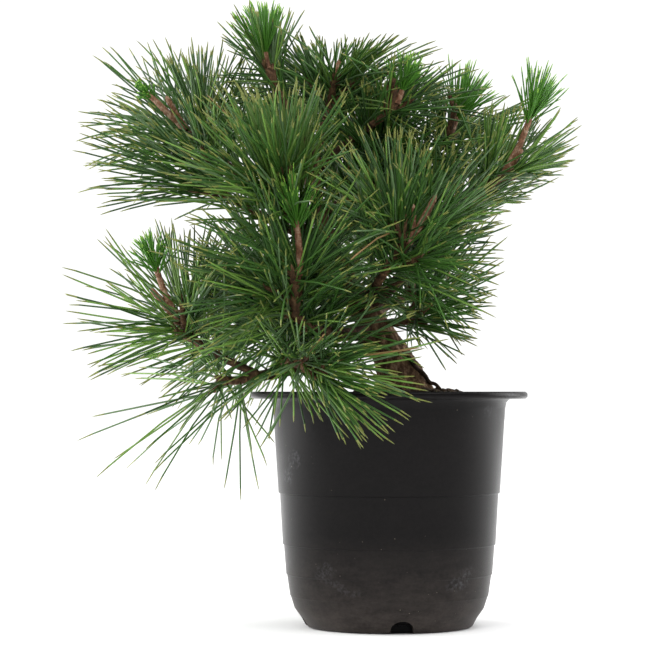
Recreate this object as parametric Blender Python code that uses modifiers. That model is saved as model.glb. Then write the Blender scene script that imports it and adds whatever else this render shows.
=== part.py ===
# Potted Japanese black pine: a leaning trunk, its boughs, masses of needles, a nursery pot and its soil.
# Metres, +Z up. The origin is the middle of the pot's flat underside, and the front looks along +Y.

import math
import random
from dataclasses import dataclass

import bmesh
import bpy
import numpy as np
from mathutils import Matrix, Vector

GAP = 0.0003  # clearance between pieces that touch
MERGE_DISTANCE = 1e-6
CRISP_EDGE = 30.0  # sharpest bend that is shaded smooth, degrees
SOFT_EDGE = 60.0
FLAT_ANGLE = math.radians(0.2)  # faces within it are one flat face

# Pot: outer radii and heights of a turned wall that steps in as it goes down
POT_HEIGHT = 0.1520
RIM_RADIUS = 0.0900
RIM_THICKNESS = 0.0046
RIM_ROUNDING = 0.0013
WALL_TOP = (0.0755, 0.1410)
RIM_FILLET = ((0.0786, 0.1474), (0.0764, 0.1452))
WALL_STEPS = (  # height, radius above and radius below
    (0.0865, 0.0720, 0.0710),
    (0.0532, 0.0692, 0.0685),
    (0.0339, 0.0670, 0.0664),
    (0.0200, 0.0644, 0.0640),
)
STEP_SLOPE = 0.0004
WALL_FOOT = ((0.0615, 0.0120), (0.0570, 0.0056), (0.0545, 0.0010))
BASE_RADIUS = 0.0535
BASE_RING_INNER = 0.0460
BASE_DISC_RADIUS = 0.0220
BASE_RECESS = 0.0015
WALL = 0.0022
FLOOR_TOP = 0.0045
TURN_STEPS = 32

# Drain notches: arch-topped openings where wall and floor meet
NOTCH_COUNT = 4
NOTCH_WIDTH = 0.0145
NOTCH_HEIGHT = 0.0078
NOTCH_STEPS = 7
NOTCH_ARCH = 0.75               # height of the arch beside half its width
NOTCH_BELOW = 0.0020            # how far its cutter starts below the pot
NOTCH_FIRST_ANGLE = math.radians(-83.0)
NOTCH_REACH = (0.0490, 0.0660)

# Soil: level near the wall, heaped round the foot of the trunk
SOIL_EDGE_HEIGHT = 0.1450
SOIL_HEAP_RADIUS = 0.0270
SOIL_HEAP_FALL = 0.0280
SOIL_RINGS = 5

# Trunk: a leaning, tapering stem with a flare of surface roots, cut flat at ground level
GROUND = 0.1530
GROUND_CUTTER_SIZE = 0.1
TRUNK_FOOT = Vector((0.0105, 0.0000, GROUND))
TRUNK_LEAN = Vector((0.0080, -0.0050, 0.1860))
TRUNK_RETURN = Vector((-0.0720, 0.0050, 0.2500))
TRUNK_TIP = Vector((-0.0410, 0.0000, 0.3300))
TRUNK_RADII = (0.0145, 0.0026)
TRUNK_TAPER = 1.2
TRUNK_FLARE = 0.0030
FLARE_LENGTH = 0.06
HEADING_STEP = 0.02             # share of a limb over which its heading is measured
ROOT_REACH = 0.0230
ROOT_RADII = (0.0065, 0.0040)
ROOT_ANGLES = (-55.0, 50.0, 125.0, 195.0, 250.0)
ROOT_HIP = 0.13                 # where on the trunk the roots set off
ROOT_KNEE = 0.62                # share of their reach at which they turn down
ROOT_RISE = 0.0060              # height of that knee, and depth of the toe

# Facets of the limbs' tubes: steps along, rounding, and the share of the limb where the tube starts
TRUNK_FACETS = (16, 4, -0.10)
BOUGH_FACETS = (4, 1, 0.0)
ROOT_FACETS = (5, 2, 0.0)

# Boughs: the limb that carries each, how far along it, a bend, the tip, and the radii at root and tip
BOUGHS = {
    "bough_low_left": ("trunk", 0.25, (-0.045, -0.010, 0.170), (-0.092, -0.020, 0.160), 0.0055, 0.0032),
    "bough_low_left_rise": ("bough_low_left", 0.90, (-0.103, -0.024, 0.171), (-0.112, -0.027, 0.176), 0.0027, 0.0023),
    "bough_front_low": ("bough_low_left", 0.58, (-0.074, -0.050, 0.172), (-0.064, -0.080, 0.170), 0.0034, 0.0026),
    "bough_front_mid": ("trunk", 0.32, (-0.029, -0.034, 0.186), (-0.050, -0.058, 0.192), 0.0042, 0.0026),
    "bough_right": ("trunk", 0.38, (0.012, -0.012, 0.230), (0.040, -0.006, 0.262), 0.0048, 0.0028),
    "bough_low_right": ("trunk", 0.34, (-0.010, 0.022, 0.206), (0.006, 0.044, 0.212), 0.0040, 0.0026),
    "bough_back_low": ("trunk", 0.28, (-0.036, 0.034, 0.190), (-0.062, 0.062, 0.192), 0.0042, 0.0026),
    "bough_left": ("trunk", 0.61, (-0.062, -0.004, 0.256), (-0.082, -0.010, 0.266), 0.0040, 0.0026),
    "bough_back_mid": ("trunk", 0.55, (-0.030, 0.036, 0.234), (-0.018, 0.064, 0.246), 0.0040, 0.0026),
    "bough_upper_left": ("trunk", 0.70, (-0.074, 0.008, 0.276), (-0.092, 0.012, 0.290), 0.0036, 0.0026),
    "bough_upper_right": ("trunk", 0.73, (-0.012, 0.012, 0.282), (0.024, 0.025, 0.305), 0.0036, 0.0024),
    "bough_front_high": ("trunk", 0.42, (-0.014, -0.030, 0.211), (-0.008, -0.042, 0.221), 0.0038, 0.0026),
    "bough_front_left": ("trunk", 0.66, (-0.050, -0.030, 0.252), (-0.058, -0.048, 0.258), 0.0036, 0.0025),
    "bough_back_high": ("trunk", 0.78, (-0.052, 0.030, 0.290), (-0.060, 0.050, 0.306), 0.0034, 0.0024),
    "bough_top_left": ("trunk", 0.82, (-0.054, -0.004, 0.318), (-0.069, -0.008, 0.342), 0.0030, 0.0022),
    "bough_top_right": ("trunk", 0.85, (-0.028, -0.012, 0.314), (-0.012, -0.018, 0.324), 0.0030, 0.0022),
}

# Crown: how far the needles reach to each side, and the slope of its underside on the right
CROWN_LEFT = -0.2115
CROWN_RIGHT = 0.1250
CROWN_RIGHT_LOW = 0.0750
CROWN_RIGHT_SLOPE = 1.3
CROWN_RIGHT_TURN = 0.2620
CROWN_RIGHT_TUCK = 0.50
CROWN_RIGHT_FALL = 0.2200
CROWN_FRONT = -0.1420
CROWN_BACK = 0.1480
CROWN_BOTTOM = 0.0715
CROWN_TOP = 0.4066


@dataclass
class Mass:
    """One mass of needles: a stem, side shoots in a whorl, candles with tufts, and the needles on them"""
    limb: str                 # what carries it
    at: float                 # how far along that limb, 1 at its tip
    aim: tuple                # where the stem ends up heading
    stem: float               # length of the stem
    needle: float = 0.078     # length of a needle
    opening: tuple = (58.0, 14.0)  # angle of the needles off a shoot, at its foot and at its tip, degrees
    sides: int = 3            # side shoots in the whorl
    side: float = 0.026       # length of a side shoot
    spread: float = 42.0      # angle of the side shoots off the stem, degrees
    phase: float = 0.0        # turn of the whorl, degrees
    rise: float = 0.20        # how much the needles turn upwards
    fill: float = 1.0         # how full of needles it is
    hanging: int = 0          # old sprays that hang straight down
    top: float = 0.400        # height that its needles keep below
    bottom: float = 0.0       # height that its needles keep above
    candles: tuple = ()       # length, lean off the vertical and azimuth of each candle, degrees
    tuft: float = 0.0         # length of the young needles on the candles


MASSES = {
    "needles_low_left": Mass(
        "bough_low_left", 1.0, (-0.86, -0.25, 0.35), 0.022, needle=0.092, opening=(98, 40), sides=2,
        side=0.012, spread=45, phase=20, rise=-0.12, fill=0.35, hanging=1, top=0.205),
    "needles_low_mid": Mass(
        "bough_low_left", 0.78, (0.30, -0.30, 0.90), 0.030, needle=0.080, opening=(66, 18), sides=3,
        side=0.020, spread=36, phase=0, rise=0.00, fill=1.0, top=0.240, bottom=0.150),
    "needles_low_left_rise": Mass(
        "bough_low_left_rise", 1.0, (-0.60, -0.05, 0.80), 0.034, needle=0.082, opening=(74, 36), sides=3,
        side=0.018, spread=45, phase=100, rise=0.02, fill=0.7, top=0.262, bottom=0.155,
        candles=((0.040, 17.0, 180.0), (0.026, 39.0, 185.0)), tuft=0.024),
    "needles_front_low": Mass(
        "bough_front_low", 1.0, (0.88, -0.38, -0.26), 0.034, needle=0.074, opening=(44, 16), sides=3,
        side=0.018, spread=32, phase=30, rise=-0.12, fill=0.7, top=0.205, bottom=0.116),
    "needles_front_mid": Mass(
        "bough_front_mid", 1.0, (0.35, 0.00, 0.94), 0.058, needle=0.080, opening=(76, 30), sides=4,
        side=0.024, spread=46, phase=10, rise=0.10, fill=1.1, top=0.300, candles=((0.034, 8.0, 190.0),),
        tuft=0.032),
    "needles_right_side": Mass(
        "bough_right", 0.50, (0.55, -0.55, 0.60), 0.030, needle=0.078, opening=(56, 22), sides=3,
        side=0.024, spread=40, phase=60, rise=0.12, fill=0.5, top=0.316),
    "needles_right_low": Mass(
        "trunk", 0.33, (0.84, -0.52, 0.10), 0.036, needle=0.078, opening=(40, 14), sides=3, side=0.024,
        spread=32, rise=0.00, fill=0.5, top=0.270, bottom=0.165),
    "needles_right": Mass(
        "bough_right", 1.0, (0.80, 0.00, 0.60), 0.050, needle=0.074, opening=(52, 24), sides=4,
        side=0.020, spread=36, phase=90, rise=0.16, fill=1.1, top=0.336,
        candles=((0.042, 17.0, 0.0), (0.018, 40.0, 320.0)), tuft=0.036),
    "needles_right_back": Mass(
        "bough_right", 0.70, (-0.15, 0.55, 0.80), 0.028, needle=0.070, opening=(56, 16), phase=30,
        rise=0.20, fill=0.7, top=0.336),
    "needles_low_right": Mass(
        "bough_low_right", 1.0, (0.80, 0.45, 0.25), 0.026, needle=0.070, phase=40, rise=0.00, fill=0.6,
        top=0.300, bottom=0.172),
    "needles_back_low": Mass(
        "bough_back_low", 1.0, (-0.35, 0.85, 0.35), 0.028, needle=0.080, opening=(75, 18), phase=10,
        rise=0.00, fill=0.8, top=0.300, bottom=0.135),
    "needles_left": Mass(
        "bough_left", 1.0, (-0.86, -0.10, 0.50), 0.050, needle=0.084, opening=(44, 14), sides=3,
        side=0.026, spread=30, phase=50, rise=0.04, fill=0.9, top=0.340, bottom=0.262),
    "needles_back_mid": Mass(
        "bough_back_mid", 1.0, (0.30, 0.80, 0.50), 0.028, needle=0.080, opening=(70, 16), phase=80,
        rise=0.15, fill=0.9, top=0.350),
    "needles_upper_left": Mass(
        "bough_upper_left", 1.0, (-0.74, 0.00, 0.67), 0.056, needle=0.076, opening=(58, 22), sides=4,
        side=0.026, spread=34, phase=90, rise=0.08, fill=1.0, top=0.384, bottom=0.274,
        candles=((0.036, 46.0, 180.0), (0.024, 27.0, 200.0)), tuft=0.010),
    "needles_upper_right": Mass(
        "bough_upper_right", 1.0, (0.45, 0.15, 0.88), 0.030, needle=0.070, opening=(56, 28), sides=4,
        spread=40, phase=20, rise=0.10, fill=0.6, top=0.356, candles=((0.010, 20.0, 0.0),), tuft=0.038),
    "needles_upper_mid": Mass(
        "bough_upper_right", 0.50, (0.10, -0.45, 0.88), 0.026, needle=0.072, opening=(56, 20), sides=3,
        side=0.020, spread=38, phase=0, rise=0.20, fill=0.8, top=0.350),
    "needles_front_high": Mass(
        "bough_front_high", 1.0, (0.68, -0.10, 0.72), 0.038, needle=0.078, opening=(74, 26), sides=4,
        side=0.026, spread=46, phase=20, rise=0.35, fill=1.3, top=0.318,
        candles=((0.024, 3.0, 180.0), (0.034, 26.0, 0.0))),
    "needles_front_left": Mass(
        "bough_front_left", 1.0, (-0.05, -0.10, 0.99), 0.034, needle=0.078, opening=(60, 18), sides=4,
        side=0.024, spread=40, phase=30, rise=0.30, fill=0.9, top=0.345),
    "needles_back_high": Mass(
        "bough_back_high", 1.0, (-0.35, 0.65, 0.66), 0.028, needle=0.072, phase=50, rise=0.30, fill=0.8,
        top=0.376),
    "needles_top_left": Mass(
        "bough_top_left", 1.0, (-0.36, 0.00, 0.93), 0.024, needle=0.052, opening=(24, 8), sides=2,
        side=0.012, spread=18, phase=70, rise=0.20, fill=0.2, candles=((0.010, 3.0, 180.0),), tuft=0.040),
    "needles_trunk_top": Mass(
        "trunk", 1.0, (0.05, 0.00, 0.99), 0.012, needle=0.072, opening=(76, 34), sides=4, side=0.024,
        spread=46, phase=45, rise=0.30, fill=1.5, top=0.382, candles=((0.028, 16.0, 340.0),)),
    "needles_top_right": Mass(
        "bough_top_right", 1.0, (0.65, -0.20, 0.72), 0.024, needle=0.068, opening=(60, 16), sides=3,
        side=0.020, phase=10, rise=0.10, fill=0.8, top=0.364, candles=((0.008, 15.0, 0.0),), tuft=0.026),
    "needles_trunk_back": Mass(
        "trunk", 0.64, (0.60, 0.60, 0.52), 0.034, needle=0.078, opening=(66, 16), phase=20, rise=0.30,
        fill=1.2, top=0.345),
}

STEM_RADIUS = 0.0028
STEM_STEPS = 3                  # stretches of a stem
SIDE_RADIUS = 0.0023
TWIG_TIP_RADIUS = 0.0017
TWIG_SIDES = 3
WHORL_START = 0.45              # share of the stem where its side shoots start
WHORL_LENGTH = 0.40
WHORL_TURN_VARIES = 17.0        # degrees either way
WHORL_SPREAD_VARIES = 6.0
SIDE_VARIES = (0.85, 1.15)      # shortest and longest side shoot beside its given length
CANDLE_RADII = (0.0024, 0.0017)
CANDLE_SINK = 0.0020
COLLAR = 0.0022                 # straight first stretch of a stem
ROOM = 0.0085                   # clearance that a twig keeps from the twigs of other masses
TWIG_SAMPLES = 12               # points along a twig, and along a limb, from which room is measured
TWIG_SAMPLES_IN_WOOD = 3        # its first ones, which lie in what bears it
LIMB_SAMPLES = 60
BEND_SHARE = 0.45               # share of a stem's length before it bends

# Sprays: a toothed blade stands for several needles, and its sizes are shares of its length
SPRAY_TEETH = ((-8.5, 0.90), (0.0, 1.0), (8.5, 0.94))  # angle off its middle in degrees, and length
SPRAY_NOTCH = 0.45              # where the notches between the teeth end
SPRAY_FOOT = 0.018              # half the width of its foot
SPRAY_THICKNESS = 0.0011
SPRAY_CLEARANCE = 0.0004
SPRAY_PLACES = 25               # places for sprays on a mass of fill 1
SPRAY_START = 0.22              # bare share of a shoot
SPRAY_HANG = 2.5                # how strongly a hanging spray heads down
SPRAY_OPENING_VARIES = 7.0      # degrees either way
SPRAY_RISE_VARIES = (0.2, 1.0)
SPRAY_VARIES = (0.86, 1.04)     # shortest and longest spray beside its given length
SPRAY_SAMPLES = 48              # points along a tooth at which its room is tested
SPRAY_SHORTEST = 0.50           # shortest share of its length that a spray keeps
TUFT_PLACES = 6
TUFT_OPEN = (38.0, 8.0)
TUFT_START = 0.72
TUFT_BREADTH = 0.70             # breadth of the young sprays on a candle, beside the old ones
LIFT = 0.30                     # how much the side shoots turn upwards
GOLDEN = math.radians(137.508)
UP = Vector((0.0, 0.0, 1.0))
POT_CLEARANCE = 0.0020          # room that needles leave round the pot and over the soil
SEED = 47

POT_COLOUR = (0.012, 0.011, 0.012)
SOIL_COLOUR = (0.018, 0.014, 0.011)
BARK_COLOUR = (0.110, 0.080, 0.058)
BOUGH_COLOUR = (0.130, 0.080, 0.045)
NEEDLE_COLOUR = (0.045, 0.095, 0.030)


@dataclass
class Limb:
    """A tapering limb along a Bezier curve"""
    controls: list
    radii: tuple
    taper: float = 1.0
    flare: float = 0.0

    def point(self, t):
        points = self.controls
        while len(points) > 1:
            points = [a.lerp(b, t) for a, b in zip(points, points[1:])]
        return points[0]

    def heading(self, t):
        return (self.point(min(t + HEADING_STEP, 1.0)) - self.point(t - HEADING_STEP)).normalized()

    def radius(self, t):
        along = max(t, 0.0)
        wood = self.radii[1] + (self.radii[0] - self.radii[1]) * (1.0 - along) ** self.taper
        return wood + self.flare * math.exp(-along / FLARE_LENGTH)


@dataclass
class Shoot:
    """A twig of a mass: its points, its radii at foot and tip, and the needles it bears"""
    points: list
    radii: tuple
    places: int
    length: float
    opening: tuple
    start: float
    young: bool = False

    def at(self, share):
        spot = share * (len(self.points) - 1)
        index = min(int(spot), len(self.points) - 2)
        a, b = self.points[index], self.points[index + 1]
        return a.lerp(b, spot - index), (b - a).normalized()


@dataclass
class Spray:
    """A toothed blade that stands for a few needles"""
    foot: Vector
    heading: Vector
    across: Vector
    length: float
    breadth: float

    def half_width(self):
        """Half the width of its foot, and of a tooth beside its middle line there"""
        return SPRAY_FOOT * self.length * self.breadth

    def tips(self):
        """The tips of its teeth"""
        flat = [along_angle(degrees * self.breadth, reach * self.length) for degrees, reach in SPRAY_TEETH]
        return [self.foot + self.across * x + self.heading * y for x, y in flat]

    def matrix(self):
        """Where the blade of unit size goes"""
        turn = Matrix((self.across, self.heading, self.across.cross(self.heading))).transposed().to_4x4()
        size = Matrix.Diagonal((self.length * self.breadth, self.length, SPRAY_THICKNESS, 1.0))
        return Matrix.Translation(self.foot) @ turn @ size


def clear_scene():
    for obj in list(bpy.data.objects):
        bpy.data.objects.remove(obj, do_unlink=True)


def new_collection(name):
    collection = bpy.data.collections.new(name)
    bpy.context.scene.collection.children.link(collection)
    return collection


def new_material(name, colour, roughness):
    material = bpy.data.materials.new(name)
    material.use_nodes = True
    shader = material.node_tree.nodes["Principled BSDF"]
    shader.inputs["Base Color"].default_value = (*colour, 1.0)
    shader.inputs["Roughness"].default_value = roughness
    shader.inputs["Metallic"].default_value = 0.0
    return material


def finish(obj, material, sharp_angle):
    obj.data.materials.clear()
    obj.data.materials.append(material)
    obj.data.shade_smooth()
    obj.data.set_sharp_from_angle(angle=math.radians(sharp_angle))


def apply_modifiers(obj):
    depsgraph = bpy.context.evaluated_depsgraph_get()
    mesh = bpy.data.meshes.new_from_object(obj.evaluated_get(depsgraph))
    obj.modifiers.clear()
    obj.data = mesh


def make_tube(name, points, radii, rounding, collection):
    """A round tapering tube with closed ends, as a mesh object"""
    curve = bpy.data.curves.new(name, "CURVE")
    curve.dimensions = "3D"
    curve.bevel_depth = 1.0
    curve.bevel_resolution = rounding
    curve.use_fill_caps = True
    spline = curve.splines.new("POLY")
    spline.points.add(len(points) - 1)
    for spot, point, radius in zip(spline.points, points, radii):
        spot.co = (*point, 1.0)
        spot.radius = radius
    guide = bpy.data.objects.new(name + "_curve", curve)
    collection.objects.link(guide)
    bpy.context.view_layer.update()
    depsgraph = bpy.context.evaluated_depsgraph_get()
    mesh = bpy.data.meshes.new_from_object(guide.evaluated_get(depsgraph))
    shape = bmesh.new()
    shape.from_mesh(mesh)
    bmesh.ops.remove_doubles(shape, verts=shape.verts, dist=MERGE_DISTANCE)
    bmesh.ops.recalc_face_normals(shape, faces=shape.faces)
    shape.to_mesh(mesh)
    shape.free()
    tube = bpy.data.objects.new(name, mesh)
    tube.matrix_world = guide.matrix_world
    collection.objects.link(tube)
    bpy.data.objects.remove(guide)
    return tube


def limb_tube(name, limb, facets, collection, grown=0.0):
    """A limb as a tube; the facets are its steps, its rounding and where along the limb it starts"""
    steps, rounding, start = facets
    shares = [start + (1.0 - start) * i / steps for i in range(steps + 1)]
    points = [limb.point(t) for t in shares]
    radii = [limb.radius(t) + grown for t in shares]
    return make_tube(name, points, radii, rounding, collection)


def combine(obj, operation, cutters):
    """One applied Boolean with another object, or with a whole collection, which is then emptied"""
    modifier = obj.modifiers.new(operation.lower(), "BOOLEAN")
    modifier.operation = operation
    modifier.solver = "EXACT"
    if isinstance(cutters, bpy.types.Collection):
        modifier.operand_type = "COLLECTION"
        modifier.collection = cutters
        spent = list(cutters.objects)
    else:
        modifier.object = cutters
        spent = [cutters]
    apply_modifiers(obj)
    for piece in spent:
        bpy.data.objects.remove(piece)


def keep_largest_shell(obj):
    """Keeps the largest closed shell: sealed hollows and loose scraps go"""
    shape = bmesh.new()
    shape.from_mesh(obj.data)
    shape.verts.ensure_lookup_table()
    unseen = set(range(len(shape.verts)))
    shells = []
    while unseen:
        stack = [unseen.pop()]
        shell = set(stack)
        while stack:
            for edge in shape.verts[stack.pop()].link_edges:
                for vert in edge.verts:
                    if vert.index in unseen:
                        unseen.remove(vert.index)
                        shell.add(vert.index)
                        stack.append(vert.index)
        shells.append(shell)
    largest = max(shells, key=len)
    scrap = [vert for vert in shape.verts if vert.index not in largest]
    bmesh.ops.delete(shape, geom=scrap, context="VERTS")
    shape.to_mesh(obj.data)
    shape.free()


def turned(name, profile, collection):
    """A turned solid: a profile at +X that runs down the outer side, spun by a Screw modifier"""
    mesh = bpy.data.meshes.new(name)
    shape = bmesh.new()
    verts = [shape.verts.new((radius, 0.0, height)) for radius, height in profile]
    for a, b in zip(verts, verts[1:]):
        shape.edges.new((a, b))
    shape.to_mesh(mesh)
    shape.free()
    obj = bpy.data.objects.new(name, mesh)
    collection.objects.link(obj)
    screw = obj.modifiers.new("turn", "SCREW")
    screw.steps = TURN_STEPS
    screw.render_steps = TURN_STEPS
    screw.use_merge_vertices = True
    screw.merge_threshold = MERGE_DISTANCE
    bpy.context.view_layer.update()
    apply_modifiers(obj)
    shape = bmesh.new()
    shape.from_mesh(obj.data)
    bmesh.ops.recalc_face_normals(shape, faces=shape.faces)
    shape.to_mesh(obj.data)
    shape.free()
    return obj


def outer_wall():
    """The pot's outer side from the top of the rim down to its foot, as radius and height"""
    under = POT_HEIGHT - RIM_THICKNESS
    side = [(RIM_RADIUS - RIM_ROUNDING, POT_HEIGHT), (RIM_RADIUS, POT_HEIGHT - RIM_ROUNDING)]
    side += [(RIM_RADIUS, under + RIM_ROUNDING), (RIM_RADIUS - RIM_ROUNDING, under)]
    side += [*RIM_FILLET, WALL_TOP]
    for height, above, below in WALL_STEPS:
        side += [(above, height), (below, height - STEP_SLOPE)]
    return side + list(WALL_FOOT)


def inner_wall():
    """The pot's inner side from the floor up to the mouth, a wall's thickness inside the outer steps"""
    side = [(BASE_RADIUS - WALL, FLOOR_TOP)]
    side += [(radius - WALL, height + WALL / 2) for radius, height in reversed(WALL_FOOT[:2])]
    height, above, below = WALL_STEPS[-1]
    side.append((below - WALL, height))
    return side + [(WALL_TOP[0] - WALL, WALL_TOP[1]), (RIM_FILLET[0][0] - WALL, POT_HEIGHT)]


def make_pot(collection, cutters, material):
    underside = [(BASE_RADIUS, 0.0), (BASE_RING_INNER, 0.0), (BASE_RING_INNER - BASE_RECESS, BASE_RECESS)]
    underside += [(BASE_DISC_RADIUS + BASE_RECESS, BASE_RECESS), (BASE_DISC_RADIUS, 0.0), (0.0, 0.0)]
    profile = outer_wall() + underside + [(0.0, FLOOR_TOP)] + inner_wall()
    profile.append(profile[0])
    pot = turned("pot", profile, collection)
    for k in range(NOTCH_COUNT):
        cut = make_notch_cutter(k, cutters)
        combine(pot, "DIFFERENCE", cut)
    finish(pot, material, CRISP_EDGE)
    return pot


def filled_outline(name, outline, depth):
    """A mesh of a flat outline with a depth, worked out by a curve that is filled and extruded"""
    curve = bpy.data.curves.new(name, "CURVE")
    curve.dimensions = "2D"
    curve.fill_mode = "BOTH"
    curve.extrude = depth / 2
    spline = curve.splines.new("POLY")
    spline.points.add(len(outline) - 1)
    spline.use_cyclic_u = True
    for spot, (across, up) in zip(spline.points, outline):
        spot.co = (across, up, 0.0, 1.0)
    guide = bpy.data.objects.new(name, curve)
    mesh = bpy.data.meshes.new_from_object(guide)
    bpy.data.objects.remove(guide)
    shape = bmesh.new()
    shape.from_mesh(mesh)
    bmesh.ops.remove_doubles(shape, verts=shape.verts, dist=MERGE_DISTANCE)
    bmesh.ops.dissolve_limit(shape, angle_limit=FLAT_ANGLE, verts=shape.verts, edges=shape.edges)
    bmesh.ops.recalc_face_normals(shape, faces=shape.faces)
    shape.to_mesh(mesh)
    shape.free()
    return mesh


def make_notch_cutter(index, cutters):
    """An upright slab with an arched top that runs out through the wall"""
    half = NOTCH_WIDTH / 2
    spring = NOTCH_HEIGHT - half * NOTCH_ARCH
    angles = np.linspace(0.0, math.pi, NOTCH_STEPS)
    arch = [(half * math.cos(a), spring + (NOTCH_HEIGHT - spring) * math.sin(a)) for a in angles]
    outline = [(half, -NOTCH_BELOW)] + arch + [(-half, -NOTCH_BELOW)]
    mesh = filled_outline("notch", outline, NOTCH_REACH[1] - NOTCH_REACH[0])
    turn = Matrix.Rotation(NOTCH_FIRST_ANGLE + index * math.tau / NOTCH_COUNT, 4, "Z")
    stand = Matrix.Rotation(math.pi / 2, 4, "Z") @ Matrix.Rotation(math.pi / 2, 4, "X")
    cutter = bpy.data.objects.new("notch_cutter", mesh)
    cutter.matrix_world = turn @ Matrix.Translation((sum(NOTCH_REACH) / 2, 0.0, 0.0)) @ stand
    cutter.hide_render = True
    cutter.display_type = "WIRE"
    cutters.objects.link(cutter)
    bpy.context.view_layer.update()
    return cutter


def soil_height(x, y):
    """Level by the wall, rising to a flat heap round the trunk"""
    away = math.hypot(x - TRUNK_FOOT.x, y - TRUNK_FOOT.y)
    fall = min(max((away - SOIL_HEAP_RADIUS) / SOIL_HEAP_FALL, 0.0), 1.0)
    fall = fall * fall * (3.0 - 2.0 * fall)
    top = GROUND - GAP
    return top + (SOIL_EDGE_HEIGHT - top) * fall


def make_soil(collection, material):
    wall = [(radius - GAP, height) for radius, height in inner_wall() if height < SOIL_EDGE_HEIGHT]
    wall[0] = (wall[0][0], FLOOR_TOP + GAP)
    edge = wall[-1][0]
    ring_radii = [edge * k / SOIL_RINGS for k in range(SOIL_RINGS + 1)]
    top = [(radius, SOIL_EDGE_HEIGHT) for radius in ring_radii]
    profile = top + list(reversed(wall)) + [(0.0, FLOOR_TOP + GAP)]
    soil = turned("soil", profile, collection)
    for vert in soil.data.vertices:
        if vert.co.z > SOIL_EDGE_HEIGHT - MERGE_DISTANCE:
            vert.co.z = soil_height(vert.co.x, vert.co.y)
    finish(soil, material, SOFT_EDGE)
    return soil


def make_trunk(limb, collection, cutters, material):
    trunk = limb_tube("trunk", limb, TRUNK_FACETS, collection)
    roots = new_collection("surface_roots")
    hip = limb.point(ROOT_HIP)
    for k, degrees in enumerate(ROOT_ANGLES):
        out = Vector((math.cos(math.radians(degrees)), math.sin(math.radians(degrees)), 0.0))
        knee = TRUNK_FOOT + out * ROOT_REACH * ROOT_KNEE + Vector((0.0, 0.0, ROOT_RISE))
        toe = TRUNK_FOOT + out * ROOT_REACH - Vector((0.0, 0.0, ROOT_RISE))
        root = Limb([hip, knee, toe], ROOT_RADII)
        limb_tube(f"root_{k}", root, ROOT_FACETS, roots)
    combine(trunk, "UNION", roots)
    bpy.data.collections.remove(roots)
    middle = (TRUNK_FOOT.x, TRUNK_FOOT.y, GROUND - GROUND_CUTTER_SIZE / 2)
    bpy.ops.mesh.primitive_cube_add(size=GROUND_CUTTER_SIZE, location=middle)
    below = bpy.context.object
    below.name = "ground_cutter"
    below.hide_render = True
    below.display_type = "WIRE"
    for owner in list(below.users_collection):
        owner.objects.unlink(below)
    cutters.objects.link(below)
    bpy.context.view_layer.update()
    combine(trunk, "DIFFERENCE", below)
    keep_largest_shell(trunk)
    finish(trunk, material, SOFT_EDGE)
    return trunk


def grow_limbs():
    """All limbs by name, the trunk first"""
    trunk = [TRUNK_FOOT, TRUNK_LEAN, TRUNK_RETURN, TRUNK_TIP]
    limbs = {"trunk": Limb(trunk, TRUNK_RADII, TRUNK_TAPER, TRUNK_FLARE)}
    for name, (parent, at, knee, tip, root_radius, tip_radius) in BOUGHS.items():
        start = limbs[parent].point(at)
        limbs[name] = Limb([start, Vector(knee), Vector(tip)], (root_radius, tip_radius))
    return limbs


def seat_cutter(name, limbs, cutters):
    """The carrying limb grown by the gap: what is cut by it sits snugly on the limb"""
    facets = TRUNK_FACETS if name == "trunk" else BOUGH_FACETS
    cutter = limb_tube("seat_cutter", limbs[name], facets, cutters, grown=GAP)
    cutter.hide_render = True
    cutter.display_type = "WIRE"
    return cutter


def make_bough(name, limbs, collection, cutters, material):
    bough = limb_tube(name, limbs[name], BOUGH_FACETS, collection)
    combine(bough, "DIFFERENCE", seat_cutter(BOUGHS[name][0], limbs, cutters))
    keep_largest_shell(bough)
    finish(bough, material, SOFT_EDGE)
    return bough


def bend(start, first, last, length, steps):
    """Points of a stem that sets off one way and ends up heading another"""
    knee = start + first * length * BEND_SHARE
    tip = knee + last * length * (1.0 - BEND_SHARE)
    curve = Limb([start, knee, tip], (0.0, 0.0))
    return [curve.point(i / steps) for i in range(steps + 1)]


def tilt(direction, degrees, azimuth):
    """A direction tilted off another by an angle, towards an azimuth round it"""
    side = direction.orthogonal().normalized()
    side = Matrix.Rotation(azimuth, 3, direction) @ side
    return (Matrix.Rotation(math.radians(degrees), 3, side) @ direction).normalized()


def grow_stem(mass, limbs):
    """The stem of a mass, which carries on from its limb's tip or stands on the limb's side"""
    limb = limbs[mass.limb]
    aim = Vector(mass.aim).normalized()
    if mass.at < 1.0:
        points = bend(limb.point(mass.at), aim, aim, mass.stem, STEM_STEPS)
        radius = STEM_RADIUS
    else:
        first = limb.heading(1.0)
        start = limb.point(1.0) + first * GAP
        points = [start] + bend(start + first * COLLAR, first, aim, mass.stem - COLLAR, STEM_STEPS)
        radius = min(limb.radius(1.0), STEM_RADIUS)
    places = round(SPRAY_PLACES * mass.fill * mass.stem / (mass.stem + mass.side * mass.sides))
    return Shoot(points, (radius, SIDE_RADIUS), places, mass.needle, mass.opening, SPRAY_START)


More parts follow.
